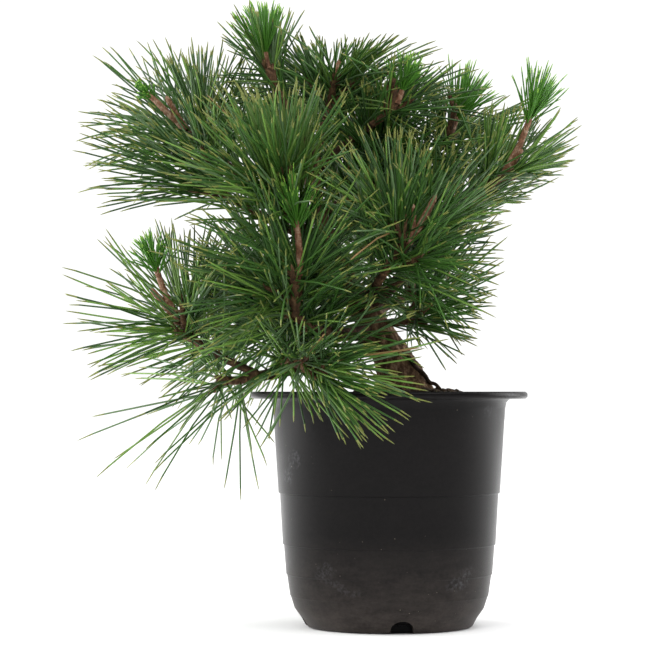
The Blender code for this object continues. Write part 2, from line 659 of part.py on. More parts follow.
def grow_candles(mass, stem, others, wood, wood_radii):
    """The young shoots at a stem's tip; the first one bears the tuft"""
    tip = stem.points[-1]
    aim = (tip - stem.points[-2]).normalized()
    shoots = []
    for length, lean, azimuth in mass.candles:
        side = Vector((math.cos(math.radians(azimuth)), math.sin(math.radians(azimuth)), 0.0))
        out = UP * math.cos(math.radians(lean)) + side * math.sin(math.radians(lean))
        points = [tip - aim * CANDLE_SINK, tip - aim * CANDLE_SINK + out * (length + CANDLE_SINK)]
        places = TUFT_PLACES if mass.tuft and not shoots else 0
        candle = Shoot(points, CANDLE_RADII, places, mass.tuft, TUFT_OPEN, TUFT_START, young=True)
        if has_room(candle, others, wood, wood_radii):
            shoots.append(candle)
    return shoots


def grow_side_twigs(mass, stem, others, wood, wood_radii, rng):
    """The whorl of side shoots on a stem"""
    shoots = []
    side_places = round((SPRAY_PLACES * mass.fill - stem.places) / mass.sides)
    for k in range(mass.sides):
        foot, along = stem.at(WHORL_START + WHORL_LENGTH * (k + rng.random()) / mass.sides)
        turn = mass.phase + 360.0 * k / mass.sides + rng.uniform(-WHORL_TURN_VARIES, WHORL_TURN_VARIES)
        spread = mass.spread + rng.uniform(-WHORL_SPREAD_VARIES, WHORL_SPREAD_VARIES)
        out = tilt(along, spread, math.radians(turn))
        out = (out + UP * LIFT).normalized()
        points = [foot, foot + out * mass.side * rng.uniform(*SIDE_VARIES)]
        radii = (SIDE_RADIUS, TWIG_TIP_RADIUS)
        twig = Shoot(points, radii, side_places, mass.needle, mass.opening, SPRAY_START)
        if has_room(twig, others, wood, wood_radii):
            shoots.append(twig)
    return shoots


def has_room(shoot, others, wood, wood_radii):
    """Whether a shoot keeps clear of the limbs and of other masses' twigs"""
    points = twig_points([shoot])[TWIG_SAMPLES_IN_WOOD:]
    off_wood = (distances(points, wood) - wood_radii[None]).min() > shoot.radii[0] + 2.0 * GAP
    return off_wood and distances(points, others).min() > ROOM


def twig_points(shoots):
    """Points a few millimetres apart along the shoots of a mass"""
    return np.array([shoot.at(share)[0] for shoot in shoots for share in np.linspace(0.0, 1.0, TWIG_SAMPLES)])


def points_of_others(twigs, name):
    """Points along the twigs of every mass but one"""
    return twig_points([shoot for other, shoots in twigs.items() if other != name for shoot in shoots])


def limb_points(limbs):
    """Points along all limbs, with their radii"""
    shares = np.linspace(0.0, 1.0, LIMB_SAMPLES)
    points = np.array([limb.point(t) for limb in limbs.values() for t in shares])
    radii = np.array([limb.radius(t) for limb in limbs.values() for t in shares])
    return points, radii


def distances(points, others):
    return np.linalg.norm(points[:, None] - others[None], axis=2)


def within_crown(line, top, bottom):
    """Which points of a tooth lie inside the crown's outline"""
    x, y, z = line.T
    right = CROWN_RIGHT_LOW + CROWN_RIGHT_SLOPE * np.maximum(z - CROWN_RIGHT_TURN, 0.0)
    right -= CROWN_RIGHT_TUCK * np.maximum(CROWN_RIGHT_FALL - z, 0.0)
    across = (x > CROWN_LEFT) & (x < np.minimum(right, CROWN_RIGHT))
    deep = (y > CROWN_FRONT) & (y < CROWN_BACK)
    return across & deep & (z > max(CROWN_BOTTOM, bottom)) & (z < min(CROWN_TOP, top))


def off_sprays(line, radii, sprays):
    """Whether a tooth is clear of the sprays already grown on this mass"""
    if not sprays:
        return True
    feet = np.array([spray.foot for spray in sprays for tip in spray.tips()])
    arms = np.array([tip - spray.foot for spray in sprays for tip in spray.tips()])
    halves = np.array([spray.half_width() for spray in sprays for tip in spray.tips()])
    reach = line[:, None] - feet[None]
    share = np.clip((reach * arms[None]).sum(axis=2) / (arms * arms).sum(axis=1)[None], 0.0, 1.0)
    away = np.linalg.norm(reach - share[:, :, None] * arms[None], axis=2)
    return bool(((away - halves[None] * (1.0 - share)).min(axis=1) > radii + SPRAY_CLEARANCE).all())


def is_free(line, radii, own, others, wood, wood_radii):
    """Which points of a tooth keep to their own space and clear of limbs, pot and soil"""
    own_away = distances(line, own).min(axis=1)
    other_away = distances(line, others).min(axis=1)
    inside = other_away - own_away > 2.0 * radii + 2.0 * GAP
    off_wood = (distances(line, wood) - wood_radii[None]).min(axis=1) > radii + 2.0 * GAP
    off_axis = np.hypot(line[:, 0], line[:, 1])
    off_pot = (line[:, 2] > GROUND + POT_CLEARANCE) | (off_axis > RIM_RADIUS + POT_CLEARANCE)
    return inside & off_wood & off_pot


def grow_sprays(shoots, mass, own, others, wood, wood_radii, rng):
    """Sprays of needles in a spiral along each shoot"""
    sprays = []
    for shoot in shoots:
        turn = rng.uniform(0.0, math.tau)
        top, bottom = (CROWN_TOP, CROWN_BOTTOM) if shoot.young else (mass.top, mass.bottom)
        breadth = TUFT_BREADTH if shoot.young else 1.0
        for i in range(shoot.places):
            share = (i + 0.5) / shoot.places
            foot, along = shoot.at(shoot.start + (1.0 - shoot.start) * share)
            opening = shoot.opening[0] + (shoot.opening[1] - shoot.opening[0]) * share
            opening += rng.uniform(-SPRAY_OPENING_VARIES, SPRAY_OPENING_VARIES)
            heading = tilt(along, opening, turn + i * GOLDEN)
            heading.z += mass.rise * rng.uniform(*SPRAY_RISE_VARIES)
            if shoot is shoots[0] and i < mass.hanging:
                heading.z -= SPRAY_HANG
            heading.normalize()
            across = heading.cross(along).normalized()
            spray = Spray(foot, heading, across, shoot.length * rng.uniform(*SPRAY_VARIES), breadth)
            shares = np.linspace(max(shoot.radii) / spray.length, 1.0, SPRAY_SAMPLES)
            radii = spray.half_width() * (1.0 - shares)
            lines = [np.array(foot) + shares[:, None] * np.array(tip - foot) for tip in spray.tips()]
            good = np.ones(SPRAY_SAMPLES, bool)
            for line in lines:
                good &= is_free(line, radii, own, others, wood, wood_radii) & within_crown(line, top, bottom)
            free = 1.0 if good.all() else int(np.argmin(good)) / SPRAY_SAMPLES
            if free >= SPRAY_SHORTEST and all(off_sprays(line, radii, sprays) for line in lines):
                spray.length *= free
                sprays.append(spray)
    return sprays


def spray_mesh():
    """A toothed blade of unit length and thickness, which each spray scales to its own size"""
    tips = [along_angle(degrees, reach) for degrees, reach in SPRAY_TEETH]
    notches = [along_angle((a[0] + b[0]) / 2.0, SPRAY_NOTCH) for a, b in zip(SPRAY_TEETH, SPRAY_TEETH[1:])]
    outline = [(-SPRAY_FOOT, 0.0)]
    for tip, notch in zip(tips, notches):
        outline += [tip, notch]
    outline += [tips[-1], (SPRAY_FOOT, 0.0)]
    return filled_outline("spray", outline, 1.0)


def along_angle(degrees, reach):
    return (math.sin(math.radians(degrees)) * reach, math.cos(math.radians(degrees)) * reach)


def drop_flaps(obj):
    """Triangles that lie back to back, left where thin blades cross, enclose nothing and go"""
    shape = bmesh.new()
    shape.from_mesh(obj.data)
    bmesh.ops.triangulate(shape, faces=shape.faces)
    by_corners = {}
    for face in shape.faces:
        by_corners.setdefault(frozenset(face.verts), []).append(face)
    flaps = [face for faces in by_corners.values() if len(faces) > 1 for face in faces]
    bmesh.ops.delete(shape, geom=flaps, context="FACES")
    shape.to_mesh(obj.data)
    shape.free()


def make_twig(foot, tip, radii, collection):
    """A straight twig with few sides"""
    along = tip - foot
    mesh = bpy.data.meshes.new("twig")
    shape = bmesh.new()
    bmesh.ops.create_cone(shape, segments=TWIG_SIDES, radius1=radii[0], radius2=radii[1], depth=along.length,
                          cap_ends=True, matrix=Matrix.Translation((0.0, 0.0, along.length / 2.0)))
    shape.to_mesh(mesh)
    shape.free()
    twig = bpy.data.objects.new("twig", mesh)
    twig.matrix_world = Matrix.Translation(foot) @ along.to_track_quat("Z", "Y").to_matrix().to_4x4()
    collection.objects.link(twig)


def make_mass(name, mass, shoots, sprays, limbs, blade, collection, cutters, material):
    """Twigs and sprays of one mass, fused by one union"""
    pieces = new_collection(name + "_pieces")
    stem = shoots[0]
    body = make_tube(name, stem.points, np.linspace(*stem.radii, len(stem.points)), 1, collection)
    if mass.at < 1.0:
        combine(body, "DIFFERENCE", seat_cutter(mass.limb, limbs, cutters))
        keep_largest_shell(body)
    for shoot in shoots[1:]:
        make_twig(*shoot.points, shoot.radii, pieces)
    for spray in sprays:
        piece = bpy.data.objects.new("spray", blade)
        piece.matrix_world = spray.matrix()
        pieces.objects.link(piece)
    bpy.context.view_layer.update()
    combine(body, "UNION", pieces)
    bpy.data.collections.remove(pieces)
    drop_flaps(body)
    keep_largest_shell(body)
    finish(body, material, CRISP_EDGE)
    return body


def main():
    clear_scene()
    parts = new_collection("potted_black_pine")
    cutters = new_collection("cutters")
    plastic = new_material("black_plastic", POT_COLOUR, 0.55)
    earth = new_material("soil", SOIL_COLOUR, 0.95)
    bark = new_material("bark", BARK_COLOUR, 0.90)
    young_bark = new_material("young_bark", BOUGH_COLOUR, 0.85)
    green = new_material("needles", NEEDLE_COLOUR, 0.50)

    limbs = grow_limbs()
    make_pot(parts, cutters, plastic)
    make_soil(parts, earth)
    make_trunk(limbs["trunk"], parts, cutters, bark)
    for name in BOUGHS:
        make_bough(name, limbs, parts, cutters, young_bark)

    rngs = {name: random.Random(SEED * 1000 + k) for k, name in enumerate(MASSES)}
    wood, wood_radii = limb_points(limbs)
    stems = {name: grow_stem(mass, limbs) for name, mass in MASSES.items()}
    twigs = {name: [stem] for name, stem in stems.items()}
    for name, mass in MASSES.items():
        twigs[name] += grow_candles(mass, stems[name], points_of_others(twigs, name), wood, wood_radii)
    for name, mass in MASSES.items():
        others = points_of_others(twigs, name)
        twigs[name] += grow_side_twigs(mass, stems[name], others, wood, wood_radii, rngs[name])
    space = {name: twig_points(shoots) for name, shoots in twigs.items()}
    blade = spray_mesh()
    for name, mass in MASSES.items():
        others = np.concatenate([points for other, points in space.items() if other != name])
        sprays = grow_sprays(twigs[name], mass, space[name], others, wood, wood_radii, rngs[name])
        make_mass(name, mass, twigs[name], sprays, limbs, blade, parts, cutters, green)


main()
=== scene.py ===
import math
import random

import bmesh
import bpy
import numpy as np
from mathutils import Matrix, Vector, noise


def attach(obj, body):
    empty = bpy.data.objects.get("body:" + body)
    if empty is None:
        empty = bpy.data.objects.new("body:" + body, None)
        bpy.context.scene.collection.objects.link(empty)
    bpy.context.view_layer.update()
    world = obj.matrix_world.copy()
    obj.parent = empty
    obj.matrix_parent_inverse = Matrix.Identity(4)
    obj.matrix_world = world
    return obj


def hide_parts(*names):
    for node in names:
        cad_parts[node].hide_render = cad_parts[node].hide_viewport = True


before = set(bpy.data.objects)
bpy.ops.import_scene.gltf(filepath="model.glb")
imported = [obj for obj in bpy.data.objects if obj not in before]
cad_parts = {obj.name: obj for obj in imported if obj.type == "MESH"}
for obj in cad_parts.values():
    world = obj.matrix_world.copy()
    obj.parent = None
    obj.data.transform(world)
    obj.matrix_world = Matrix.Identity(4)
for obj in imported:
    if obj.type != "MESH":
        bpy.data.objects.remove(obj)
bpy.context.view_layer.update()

goldenAngle = math.radians(137.508)

# The plant's plan, in metres: the same limbs and masses as the solids have
gap = 0.0003
groundHeight = 0.1530
trunkFoot = Vector((0.0105, 0.0, groundHeight))
trunkPlan = {
    "controls": [trunkFoot, (0.008, -0.005, 0.186), (-0.072, 0.005, 0.250), (-0.041, 0.0, 0.330)],
    "radii": (0.0145, 0.0026),
    "taper": 1.2,
    "flare": 0.0030,
    "flareLength": 0.06,
    "rootAngles": (-55.0, 50.0, 125.0, 195.0, 250.0),
}

boughPlan = {  # limb that carries it, how far along, bend, tip, radii at root and tip
    "bough_low_left": ("trunk", 0.25, (-0.045, -0.010, 0.170), (-0.092, -0.020, 0.160), 0.0055, 0.0032),
    "bough_low_left_rise": (
        "bough_low_left", 0.90, (-0.103, -0.024, 0.171), (-0.112, -0.027, 0.176), 0.0027, 0.0023),
    "bough_front_low": (
        "bough_low_left", 0.58, (-0.074, -0.050, 0.172), (-0.064, -0.080, 0.170), 0.0034, 0.0026),
    "bough_front_mid": ("trunk", 0.32, (-0.029, -0.034, 0.186), (-0.050, -0.058, 0.192), 0.0042, 0.0026),
    "bough_right": ("trunk", 0.38, (0.012, -0.012, 0.230), (0.040, -0.006, 0.262), 0.0048, 0.0028),
    "bough_low_right": ("trunk", 0.34, (-0.010, 0.022, 0.206), (0.006, 0.044, 0.212), 0.0040, 0.0026),
    "bough_back_low": ("trunk", 0.28, (-0.036, 0.034, 0.190), (-0.062, 0.062, 0.192), 0.0042, 0.0026),
    "bough_left": ("trunk", 0.61, (-0.062, -0.004, 0.256), (-0.082, -0.010, 0.266), 0.0040, 0.0026),
    "bough_back_mid": ("trunk", 0.55, (-0.030, 0.036, 0.234), (-0.018, 0.064, 0.246), 0.0040, 0.0026),
    "bough_upper_left": ("trunk", 0.70, (-0.074, 0.008, 0.276), (-0.092, 0.012, 0.290), 0.0036, 0.0026),
    "bough_upper_right": ("trunk", 0.73, (-0.012, 0.012, 0.282), (0.024, 0.025, 0.305), 0.0036, 0.0024),
    "bough_front_high": ("trunk", 0.42, (-0.014, -0.030, 0.211), (-0.008, -0.042, 0.221), 0.0038, 0.0026),
    "bough_front_left": ("trunk", 0.66, (-0.050, -0.030, 0.252), (-0.058, -0.048, 0.258), 0.0036, 0.0025),
    "bough_back_high": ("trunk", 0.78, (-0.052, 0.030, 0.290), (-0.060, 0.050, 0.306), 0.0034, 0.0024),
    "bough_top_left": ("trunk", 0.82, (-0.054, -0.004, 0.318), (-0.069, -0.008, 0.342), 0.0030, 0.0022),
    "bough_top_right": ("trunk", 0.85, (-0.028, -0.012, 0.314), (-0.012, -0.018, 0.324), 0.0030, 0.0022),
}


def massOf(limb, at, aim, stem, needle=0.078, opening=(58.0, 14.0), sides=3, side=0.026, spread=42.0,
           phase=0.0, rise=0.20, fill=1.0, hanging=0, top=0.400, bottom=0.0, candles=(), tuft=0.0):
    return dict(limb=limb, at=at, aim=aim, stem=stem, needle=needle, opening=opening, sides=sides, side=side,
                spread=spread, phase=phase, rise=rise, fill=fill, hanging=hanging, top=top, bottom=bottom,
                candles=candles, tuft=tuft)


massPlan = {
    "needles_low_left": massOf(
        "bough_low_left", 1.0, (-0.86, -0.25, 0.35), 0.022, needle=0.092, opening=(98, 40), sides=2,
        side=0.012, spread=45, phase=20, rise=-0.12, fill=0.35, hanging=1, top=0.205),
    "needles_low_mid": massOf(
        "bough_low_left", 0.78, (0.30, -0.30, 0.90), 0.030, needle=0.080, opening=(66, 18),
        side=0.020, spread=36, rise=0.00, top=0.240, bottom=0.150),
    "needles_low_left_rise": massOf(
        "bough_low_left_rise", 1.0, (-0.60, -0.05, 0.80), 0.034, needle=0.082, opening=(74, 36),
        side=0.018, spread=45, phase=100, rise=0.02, fill=0.7, top=0.262, bottom=0.155,
        candles=((0.040, 17.0, 180.0), (0.026, 39.0, 185.0)), tuft=0.024),
    "needles_front_low": massOf(
        "bough_front_low", 1.0, (0.88, -0.38, -0.26), 0.034, needle=0.074, opening=(44, 16),
        side=0.018, spread=32, phase=30, rise=-0.12, fill=0.7, top=0.205, bottom=0.116),
    "needles_front_mid": massOf(
        "bough_front_mid", 1.0, (0.35, 0.00, 0.94), 0.058, needle=0.080, opening=(76, 30), sides=4,
        side=0.024, spread=46, phase=10, rise=0.10, fill=1.1, top=0.300, candles=((0.034, 8.0, 190.0),),
        tuft=0.032),
    "needles_right_side": massOf(
        "bough_right", 0.50, (0.55, -0.55, 0.60), 0.030, opening=(56, 22),
        side=0.024, spread=40, phase=60, rise=0.12, fill=0.5, top=0.316),
    "needles_right_low": massOf(
        "trunk", 0.33, (0.84, -0.52, 0.10), 0.036, opening=(40, 14), side=0.024,
        spread=32, rise=0.00, fill=0.5, top=0.270, bottom=0.165),
    "needles_right": massOf(
        "bough_right", 1.0, (0.80, 0.00, 0.60), 0.050, needle=0.074, opening=(52, 24), sides=4,
        side=0.020, spread=36, phase=90, rise=0.16, fill=1.1, top=0.336,
        candles=((0.042, 17.0, 0.0), (0.018, 40.0, 320.0)), tuft=0.036),
    "needles_right_back": massOf(
        "bough_right", 0.70, (-0.15, 0.55, 0.80), 0.028, needle=0.070, opening=(56, 16), phase=30,
        fill=0.7, top=0.336),
    "needles_low_right": massOf(
        "bough_low_right", 1.0, (0.80, 0.45, 0.25), 0.026, needle=0.070, phase=40, rise=0.00, fill=0.6,
        top=0.300, bottom=0.172),
    "needles_back_low": massOf(
        "bough_back_low", 1.0, (-0.35, 0.85, 0.35), 0.028, needle=0.080, opening=(75, 18), phase=10,
        rise=0.00, fill=0.8, top=0.300, bottom=0.135),
    "needles_left": massOf(
        "bough_left", 1.0, (-0.86, -0.10, 0.50), 0.050, needle=0.084, opening=(44, 14),
        side=0.026, spread=30, phase=50, rise=0.04, fill=0.9, top=0.340, bottom=0.262),
    "needles_back_mid": massOf(
        "bough_back_mid", 1.0, (0.30, 0.80, 0.50), 0.028, needle=0.080, opening=(70, 16), phase=80,
        rise=0.15, fill=0.9, top=0.350),
    "needles_upper_left": massOf(
        "bough_upper_left", 1.0, (-0.74, 0.00, 0.67), 0.056, needle=0.076, opening=(58, 22), sides=4,
        side=0.026, spread=34, phase=90, rise=0.08, top=0.384, bottom=0.274,
        candles=((0.036, 46.0, 180.0), (0.024, 27.0, 200.0)), tuft=0.010),
    "needles_upper_right": massOf(
        "bough_upper_right", 1.0, (0.45, 0.15, 0.88), 0.030, needle=0.070, opening=(56, 28), sides=4,
        spread=40, phase=20, rise=0.10, fill=0.6, top=0.356, candles=((0.010, 20.0, 0.0),), tuft=0.038),
    "needles_upper_mid": massOf(
        "bough_upper_right", 0.50, (0.10, -0.45, 0.88), 0.026, needle=0.072, opening=(56, 20),
        side=0.020, spread=38, fill=0.8, top=0.350),
    "needles_front_high": massOf(
        "bough_front_high", 1.0, (0.68, -0.10, 0.72), 0.038, opening=(74, 26), sides=4,
        side=0.026, spread=46, phase=20, rise=0.35, fill=1.3, top=0.318,
        candles=((0.024, 3.0, 180.0), (0.034, 26.0, 0.0))),
    "needles_front_left": massOf(
        "bough_front_left", 1.0, (-0.05, -0.10, 0.99), 0.034, opening=(60, 18), sides=4,
        side=0.024, spread=40, phase=30, rise=0.30, fill=0.9, top=0.345),
    "needles_back_high": massOf(
        "bough_back_high", 1.0, (-0.35, 0.65, 0.66), 0.028, needle=0.072, phase=50, rise=0.30, fill=0.8,
        top=0.376),
    "needles_top_left": massOf(
        "bough_top_left", 1.0, (-0.36, 0.00, 0.93), 0.024, needle=0.052, opening=(24, 8), sides=2,
        side=0.012, spread=18, phase=70, fill=0.2, candles=((0.010, 3.0, 180.0),), tuft=0.040),
    "needles_trunk_top": massOf(
        "trunk", 1.0, (0.05, 0.00, 0.99), 0.012, needle=0.072, opening=(76, 34), sides=4, side=0.024,
        spread=46, phase=45, rise=0.30, fill=1.5, top=0.382, candles=((0.028, 16.0, 340.0),)),
    "needles_top_right": massOf(
        "bough_top_right", 1.0, (0.65, -0.20, 0.72), 0.024, needle=0.068, opening=(60, 16),
        side=0.020, phase=10, rise=0.10, fill=0.8, top=0.364, candles=((0.008, 15.0, 0.0),), tuft=0.026),
    "needles_trunk_back": massOf(
        "trunk", 0.64, (0.60, 0.60, 0.52), 0.034, opening=(66, 16), phase=20, rise=0.30,
        fill=1.2, top=0.345),
}

crown = {  # how far the needles may reach, with a notch under the right side and the pot kept clear
    "left": -0.2115, "right": 0.1250, "rightLow": 0.0750, "rightSlope": 1.3, "rightTurn": 0.2620,
    "tuck": 0.50, "tuckTurn": 0.2200, "front": -0.1420, "back": 0.1480, "bottom": 0.0715, "top": 0.4066,
    "rim": 0.0925, "mouth": 0.1550, "leftSlack": 0.3, "topSlack": 0.5, "overMass": 0.004,
}


# A Value is a node's socket that Python's maths works on
class Value:
    def __init__(self, nodes, socket):
        self.nodes = nodes
        self.socket = socket

    def maths(self, operation, first, second):
        return self.nodes.node("ShaderNodeMath", {"operation": operation}, {0: first, 1: second})

    def __add__(self, other):
        return self.maths("ADD", self, other)

    __radd__ = __add__

    def __mul__(self, other):
        return self.maths("MULTIPLY", self, other)

    __rmul__ = __mul__

    def __sub__(self, other):
        return self.maths("SUBTRACT", self, other)

    def __rsub__(self, other):
        return self.maths("SUBTRACT", other, self)

    def power(self, other):
        return self.maths("POWER", self, other)


class Nodes:
    def __init__(self, tree):
        self.tree = tree

    def node(self, kind, settings=None, sockets=None, output=0):
        made = self.tree.nodes.new(kind)
        for key, value in (settings or {}).items():
            if key == "stops":
                self.setStops(made, value)
            else:
                setattr(made, key, value)
        for key, value in (sockets or {}).items():
            if isinstance(value, Value):
                self.tree.links.new(value.socket, made.inputs[key])
            else:
                made.inputs[key].default_value = value
        return Value(self, made.outputs[output])

    def setStops(self, made, stops):
        ramp = made.color_ramp.elements
        while len(ramp) < len(stops):
            ramp.new(0.5)
        for element, (position, colour) in zip(ramp, stops):
            element.position = position
            element.color = colour if len(colour) == 4 else (*colour, 1.0)


class Finish(Nodes):
    def __init__(self, name, roughness, specular):
        self.material = bpy.data.materials.new(name)
        self.material.use_nodes = True
        super().__init__(self.material.node_tree)
        self.shader = self.tree.nodes["Principled BSDF"]
        self.shader.inputs["Roughness"].default_value = roughness
        self.shader.inputs["Specular IOR Level"].default_value = specular

    def place(self):
        return self.node("ShaderNodeTexCoord", output=3)  # output 3 is Object

    def axis(self, index):
        return self.node("ShaderNodeSeparateXYZ", None, {0: self.place()}, index)

    def stretched(self, scale, turn=(0.0, 0.0, 0.0), shift=(0.0, 0.0, 0.0)):
        return self.node("ShaderNodeMapping", None,
                         {"Vector": self.place(), "Scale": scale, "Rotation": turn, "Location": shift})

    def noise(self, scale, detail=3.0, rough=0.5, vector=None):
        return self.node("ShaderNodeTexNoise", None, {
            "Vector": vector or self.place(), "Scale": scale, "Detail": detail, "Roughness": rough})

    def cells(self, scale, vector=None):
        return self.node("ShaderNodeTexVoronoi", None, {"Vector": vector or self.place(), "Scale": scale})

    def ramp(self, factor, *stops):
        return self.node("ShaderNodeValToRGB", {"stops": stops}, {"Fac": factor})

    def mix(self, factor, first, second):
        return self.node("ShaderNodeMix", {"data_type": "RGBA"}, {0: factor, 6: first, 7: second}, 2)

    def feed(self, name, value):
        self.tree.links.new(value.socket, self.shader.inputs[name])

    def bump(self, height, strength, distance):
        self.feed("Normal", self.node("ShaderNodeBump", None, {
            "Strength": strength, "Distance": distance, "Height": height}))


black = (0.0, 0.0, 0.0)
white = (1.0, 1.0, 1.0)


def srgb(red, green, blue):
    def linear(value):
        value /= 255.0
        return value / 12.92 if value <= 0.04045 else ((value + 0.055) / 1.055) ** 2.4
    return (linear(red), linear(green), linear(blue), 1.0)


# Black plastic with dust near its foot, a few smudges and specks, and painted shade: its floor and underside
# are painted nearly black, a dark mouth behind the drain notches
def potFinish():
    finish = Finish("potPlastic", 0.36, 0.10)
    cloud = finish.noise(24.0, 4.0, 0.6)
    mottle = finish.noise(420.0, 5.0, 0.7)
    brushed = finish.noise(70.0, 6.0, 0.7, finish.stretched((1.0, 1.0, 2.6)))
    patch = finish.noise(19.0, 2.0, 0.5, finish.stretched((1.0, 1.0, 1.7), shift=(0.31, 0.0, 0.12)))
    east, north, height = (finish.axis(k) for k in range(3))
    low = finish.ramp(height * 6.5, (0.03, white), (0.14, (0.50, 0.50, 0.50)), (0.40, black))
    # painted shade: within about 5 cm of the axis, the pot's floor and underside are painted nearly black
    paintedShadeInside = finish.ramp((east * east + north * north) * 100, (0.255, white), (0.265, black))
    dust = finish.ramp(brushed, (0.30, black), (0.75, white))
    dustMask = (dust * 0.5 + mottle * 0.5) * (low * 0.44 + 0.02)
    smudge = finish.ramp(patch, (0.62, black), (0.72, white))
    smudgeMask = smudge * finish.ramp(mottle, (0.46, black), (0.66, white))
    specks = finish.ramp(finish.cells(190.0), (0.0, white), (0.07, black))
    speckMask = specks * finish.ramp(cloud, (0.50, black), (0.56, white))
    plain = finish.mix(mottle, srgb(3, 3, 3), srgb(17, 15, 16))
    dusty = finish.mix(dustMask, plain, srgb(116, 106, 100))
    smudged = finish.mix(smudgeMask * 0.20, dusty, srgb(150, 152, 160))
    specked = finish.mix(speckMask * 0.8, smudged, srgb(160, 148, 130))
    finish.feed("Base Color", finish.mix(paintedShadeInside, specked, srgb(2, 2, 2)))
    finish.feed("Roughness", cloud * 0.10 + 0.24 + dustMask * 0.5)
    grain = finish.noise(2600.0, 2.0)
    rings = finish.noise(1.0, 2.0, 0.5, finish.stretched((3.0, 3.0, 900.0)))
    finish.bump(grain * 0.6 + rings * 0.5 + brushed * 0.3, 0.25, 0.0002)
    return finish.material


def soilFinish():
    finish = Finish("pottingSoil", 0.95, 0.2)
    crumbs = finish.noise(260.0, 6.0, 0.7)
    damp = finish.noise(35.0, 2.0)
    colour = finish.ramp(crumbs, (0.30, srgb(22, 17, 14)), (0.52, srgb(48, 37, 29)), (0.74, srgb(92, 76, 60)))
    # painted shade: the soil low in the pot is painted nearly black, darker the lower it lies
    paintedShadeLow = finish.ramp(finish.axis(2) * 6.5, (0.30, white), (0.80, black))  # dark behind the drain notches
    damped = finish.mix(damp * 0.5, colour, srgb(30, 23, 18))
    finish.feed("Base Color", finish.mix(paintedShadeLow, damped, srgb(4, 3, 3)))
    finish.bump(crumbs, 0.8, 0.0012)
    return finish.material


def grainFinish():
    finish = Finish("soilGrains", 0.9, 0.25)
    patch = finish.noise(190.0, 4.0, 0.7)
    finish.feed("Base Color", finish.ramp(
        patch, (0.32, srgb(34, 26, 20)), (0.52, srgb(66, 52, 41)), (0.70, srgb(122, 104, 84))))
    finish.bump(finish.noise(1200.0, 3.0), 0.5, 0.0004)
    return finish.material


def barkFinish():
    finish = Finish("oldBark", 0.9, 0.2)
    along = finish.stretched((1.0, 1.0, 0.45), (0.0, -0.65, 0.0))  # plates drawn out along the leaning trunk
    flakes = finish.cells(210.0, along)
    fissure = finish.noise(230.0, 7.0, 0.78, along)
    stain = finish.noise(45.0, 3.0)
    colour = finish.ramp(fissure, (0.34, srgb(22, 16, 12)), (0.47, srgb(74, 56, 42)),
                         (0.58, srgb(136, 110, 84)), (0.72, srgb(198, 174, 142)))
    warm = finish.mix(stain * 0.55, colour, srgb(112, 84, 60))
    finish.feed("Base Color", finish.mix(flakes.power(2.0) * 0.35, warm, srgb(58, 45, 36)))
    finish.bump(fissure * 0.8 - flakes * 0.5, 0.9, 0.0012)
    return finish.material


def youngBarkFinish():
    finish = Finish("youngBark", 0.85, 0.25)
    scales = finish.cells(520.0, finish.stretched((1.0, 1.0, 0.6)))
    patch = finish.noise(170.0, 5.0, 0.65)
    colour = finish.ramp(patch, (0.30, srgb(34, 25, 18)), (0.50, srgb(74, 54, 38)), (0.70, srgb(118, 92, 66)))
    finish.feed("Base Color", finish.mix(scales.power(1.5) * 0.6, colour, srgb(36, 25, 18)))
    finish.bump(patch * 0.5 - scales * 0.7, 0.8, 0.0007)
    return finish.material


def shootFinish(name, dark, mid, pale, rough=0.75):
    finish = Finish(name, rough, 0.3)
    scales = finish.cells(900.0, finish.stretched((1.0, 1.0, 0.55)))
    patch = finish.noise(300.0, 4.0, 0.6)
    colour = finish.ramp(patch, (0.30, dark), (0.50, mid), (0.70, pale))
    finish.feed("Base Color", finish.mix(scales * 0.7, colour, dark))
    finish.bump(patch * 0.4 - scales * 0.8, 0.8, 0.0005)
    return finish.material


def needleFinish(name, colour, rough=0.42, sheen=0.35):
    finish = Finish(name, rough, sheen)
    patch = finish.noise(420.0, 2.0)
    darker = tuple(channel * 0.72 for channel in colour[:3]) + (1.0,)
    lighter = tuple(min(channel * 1.22, 1.0) for channel in colour[:3]) + (1.0,)
    finish.feed("Base Color", finish.mix(patch, darker, lighter))
    finish.feed("Roughness", patch * 0.14 + (rough - 0.07))
    return finish.material


def floorFinish():
    finish = Finish("paleFloor", 0.85, 0.1)
    cloud = finish.noise(3.0, 2.0)
    finish.feed("Base Color", finish.mix(cloud, (0.90, 0.90, 0.90, 1.0), (0.94, 0.94, 0.94, 1.0)))
    return finish.material


def meshFrom(shape, name):
    mesh = bpy.data.meshes.new(name)
    shape.to_mesh(mesh)
    shape.free()
    return mesh


def added(name, data):
    made = bpy.data.objects.new(name, data)
    bpy.context.scene.collection.objects.link(made)
    return made


def pieceFrom(shape, name, materials, nodes=(), smooth=180.0):
    mesh = meshFrom(shape, name) if isinstance(shape, bmesh.types.BMesh) else shape
    mesh.name = name
    for material in materials:
        mesh.materials.append(material)
    mesh.shade_smooth()
    if smooth < 180.0:
        mesh.set_sharp_from_angle(angle=math.radians(smooth))
    piece = added(name, mesh)
    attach(piece, "root")
    if nodes:
        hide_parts(*nodes)
    return piece


def frameAt(point, along, radius, side):  # side goes on from ring to ring, so that the tube doesn't twist
    z = along.normalized()
    x = (side - z * side.dot(z)).normalized()
    y = z.cross(x)
    turn = Matrix((x, y, z)).transposed().to_4x4()
    return Matrix.Translation(point) @ turn @ Matrix.Diagonal((radius, radius, radius, 1.0)), x


# The operators list what they make in any order; this puts points and faces in the same order each run
def settle(shape):
    lean = Vector((0.31, 0.57, 0.76))
    shape.verts.sort(key=lambda vert: lean.dot(vert.co))
    shape.verts.index_update()
    faces = []
    for face in shape.faces:
        corners = [vert.index for vert in face.verts]
        first = corners.index(min(corners))
        faces.append(corners[first:] + corners[:first])
    mesh = bpy.data.meshes.new("settled")
    mesh.from_pydata([vert.co for vert in shape.verts], [], sorted(faces))
    shape.clear()
    shape.from_mesh(mesh)
    shape.normal_update()
    bpy.data.meshes.remove(mesh)
    return shape


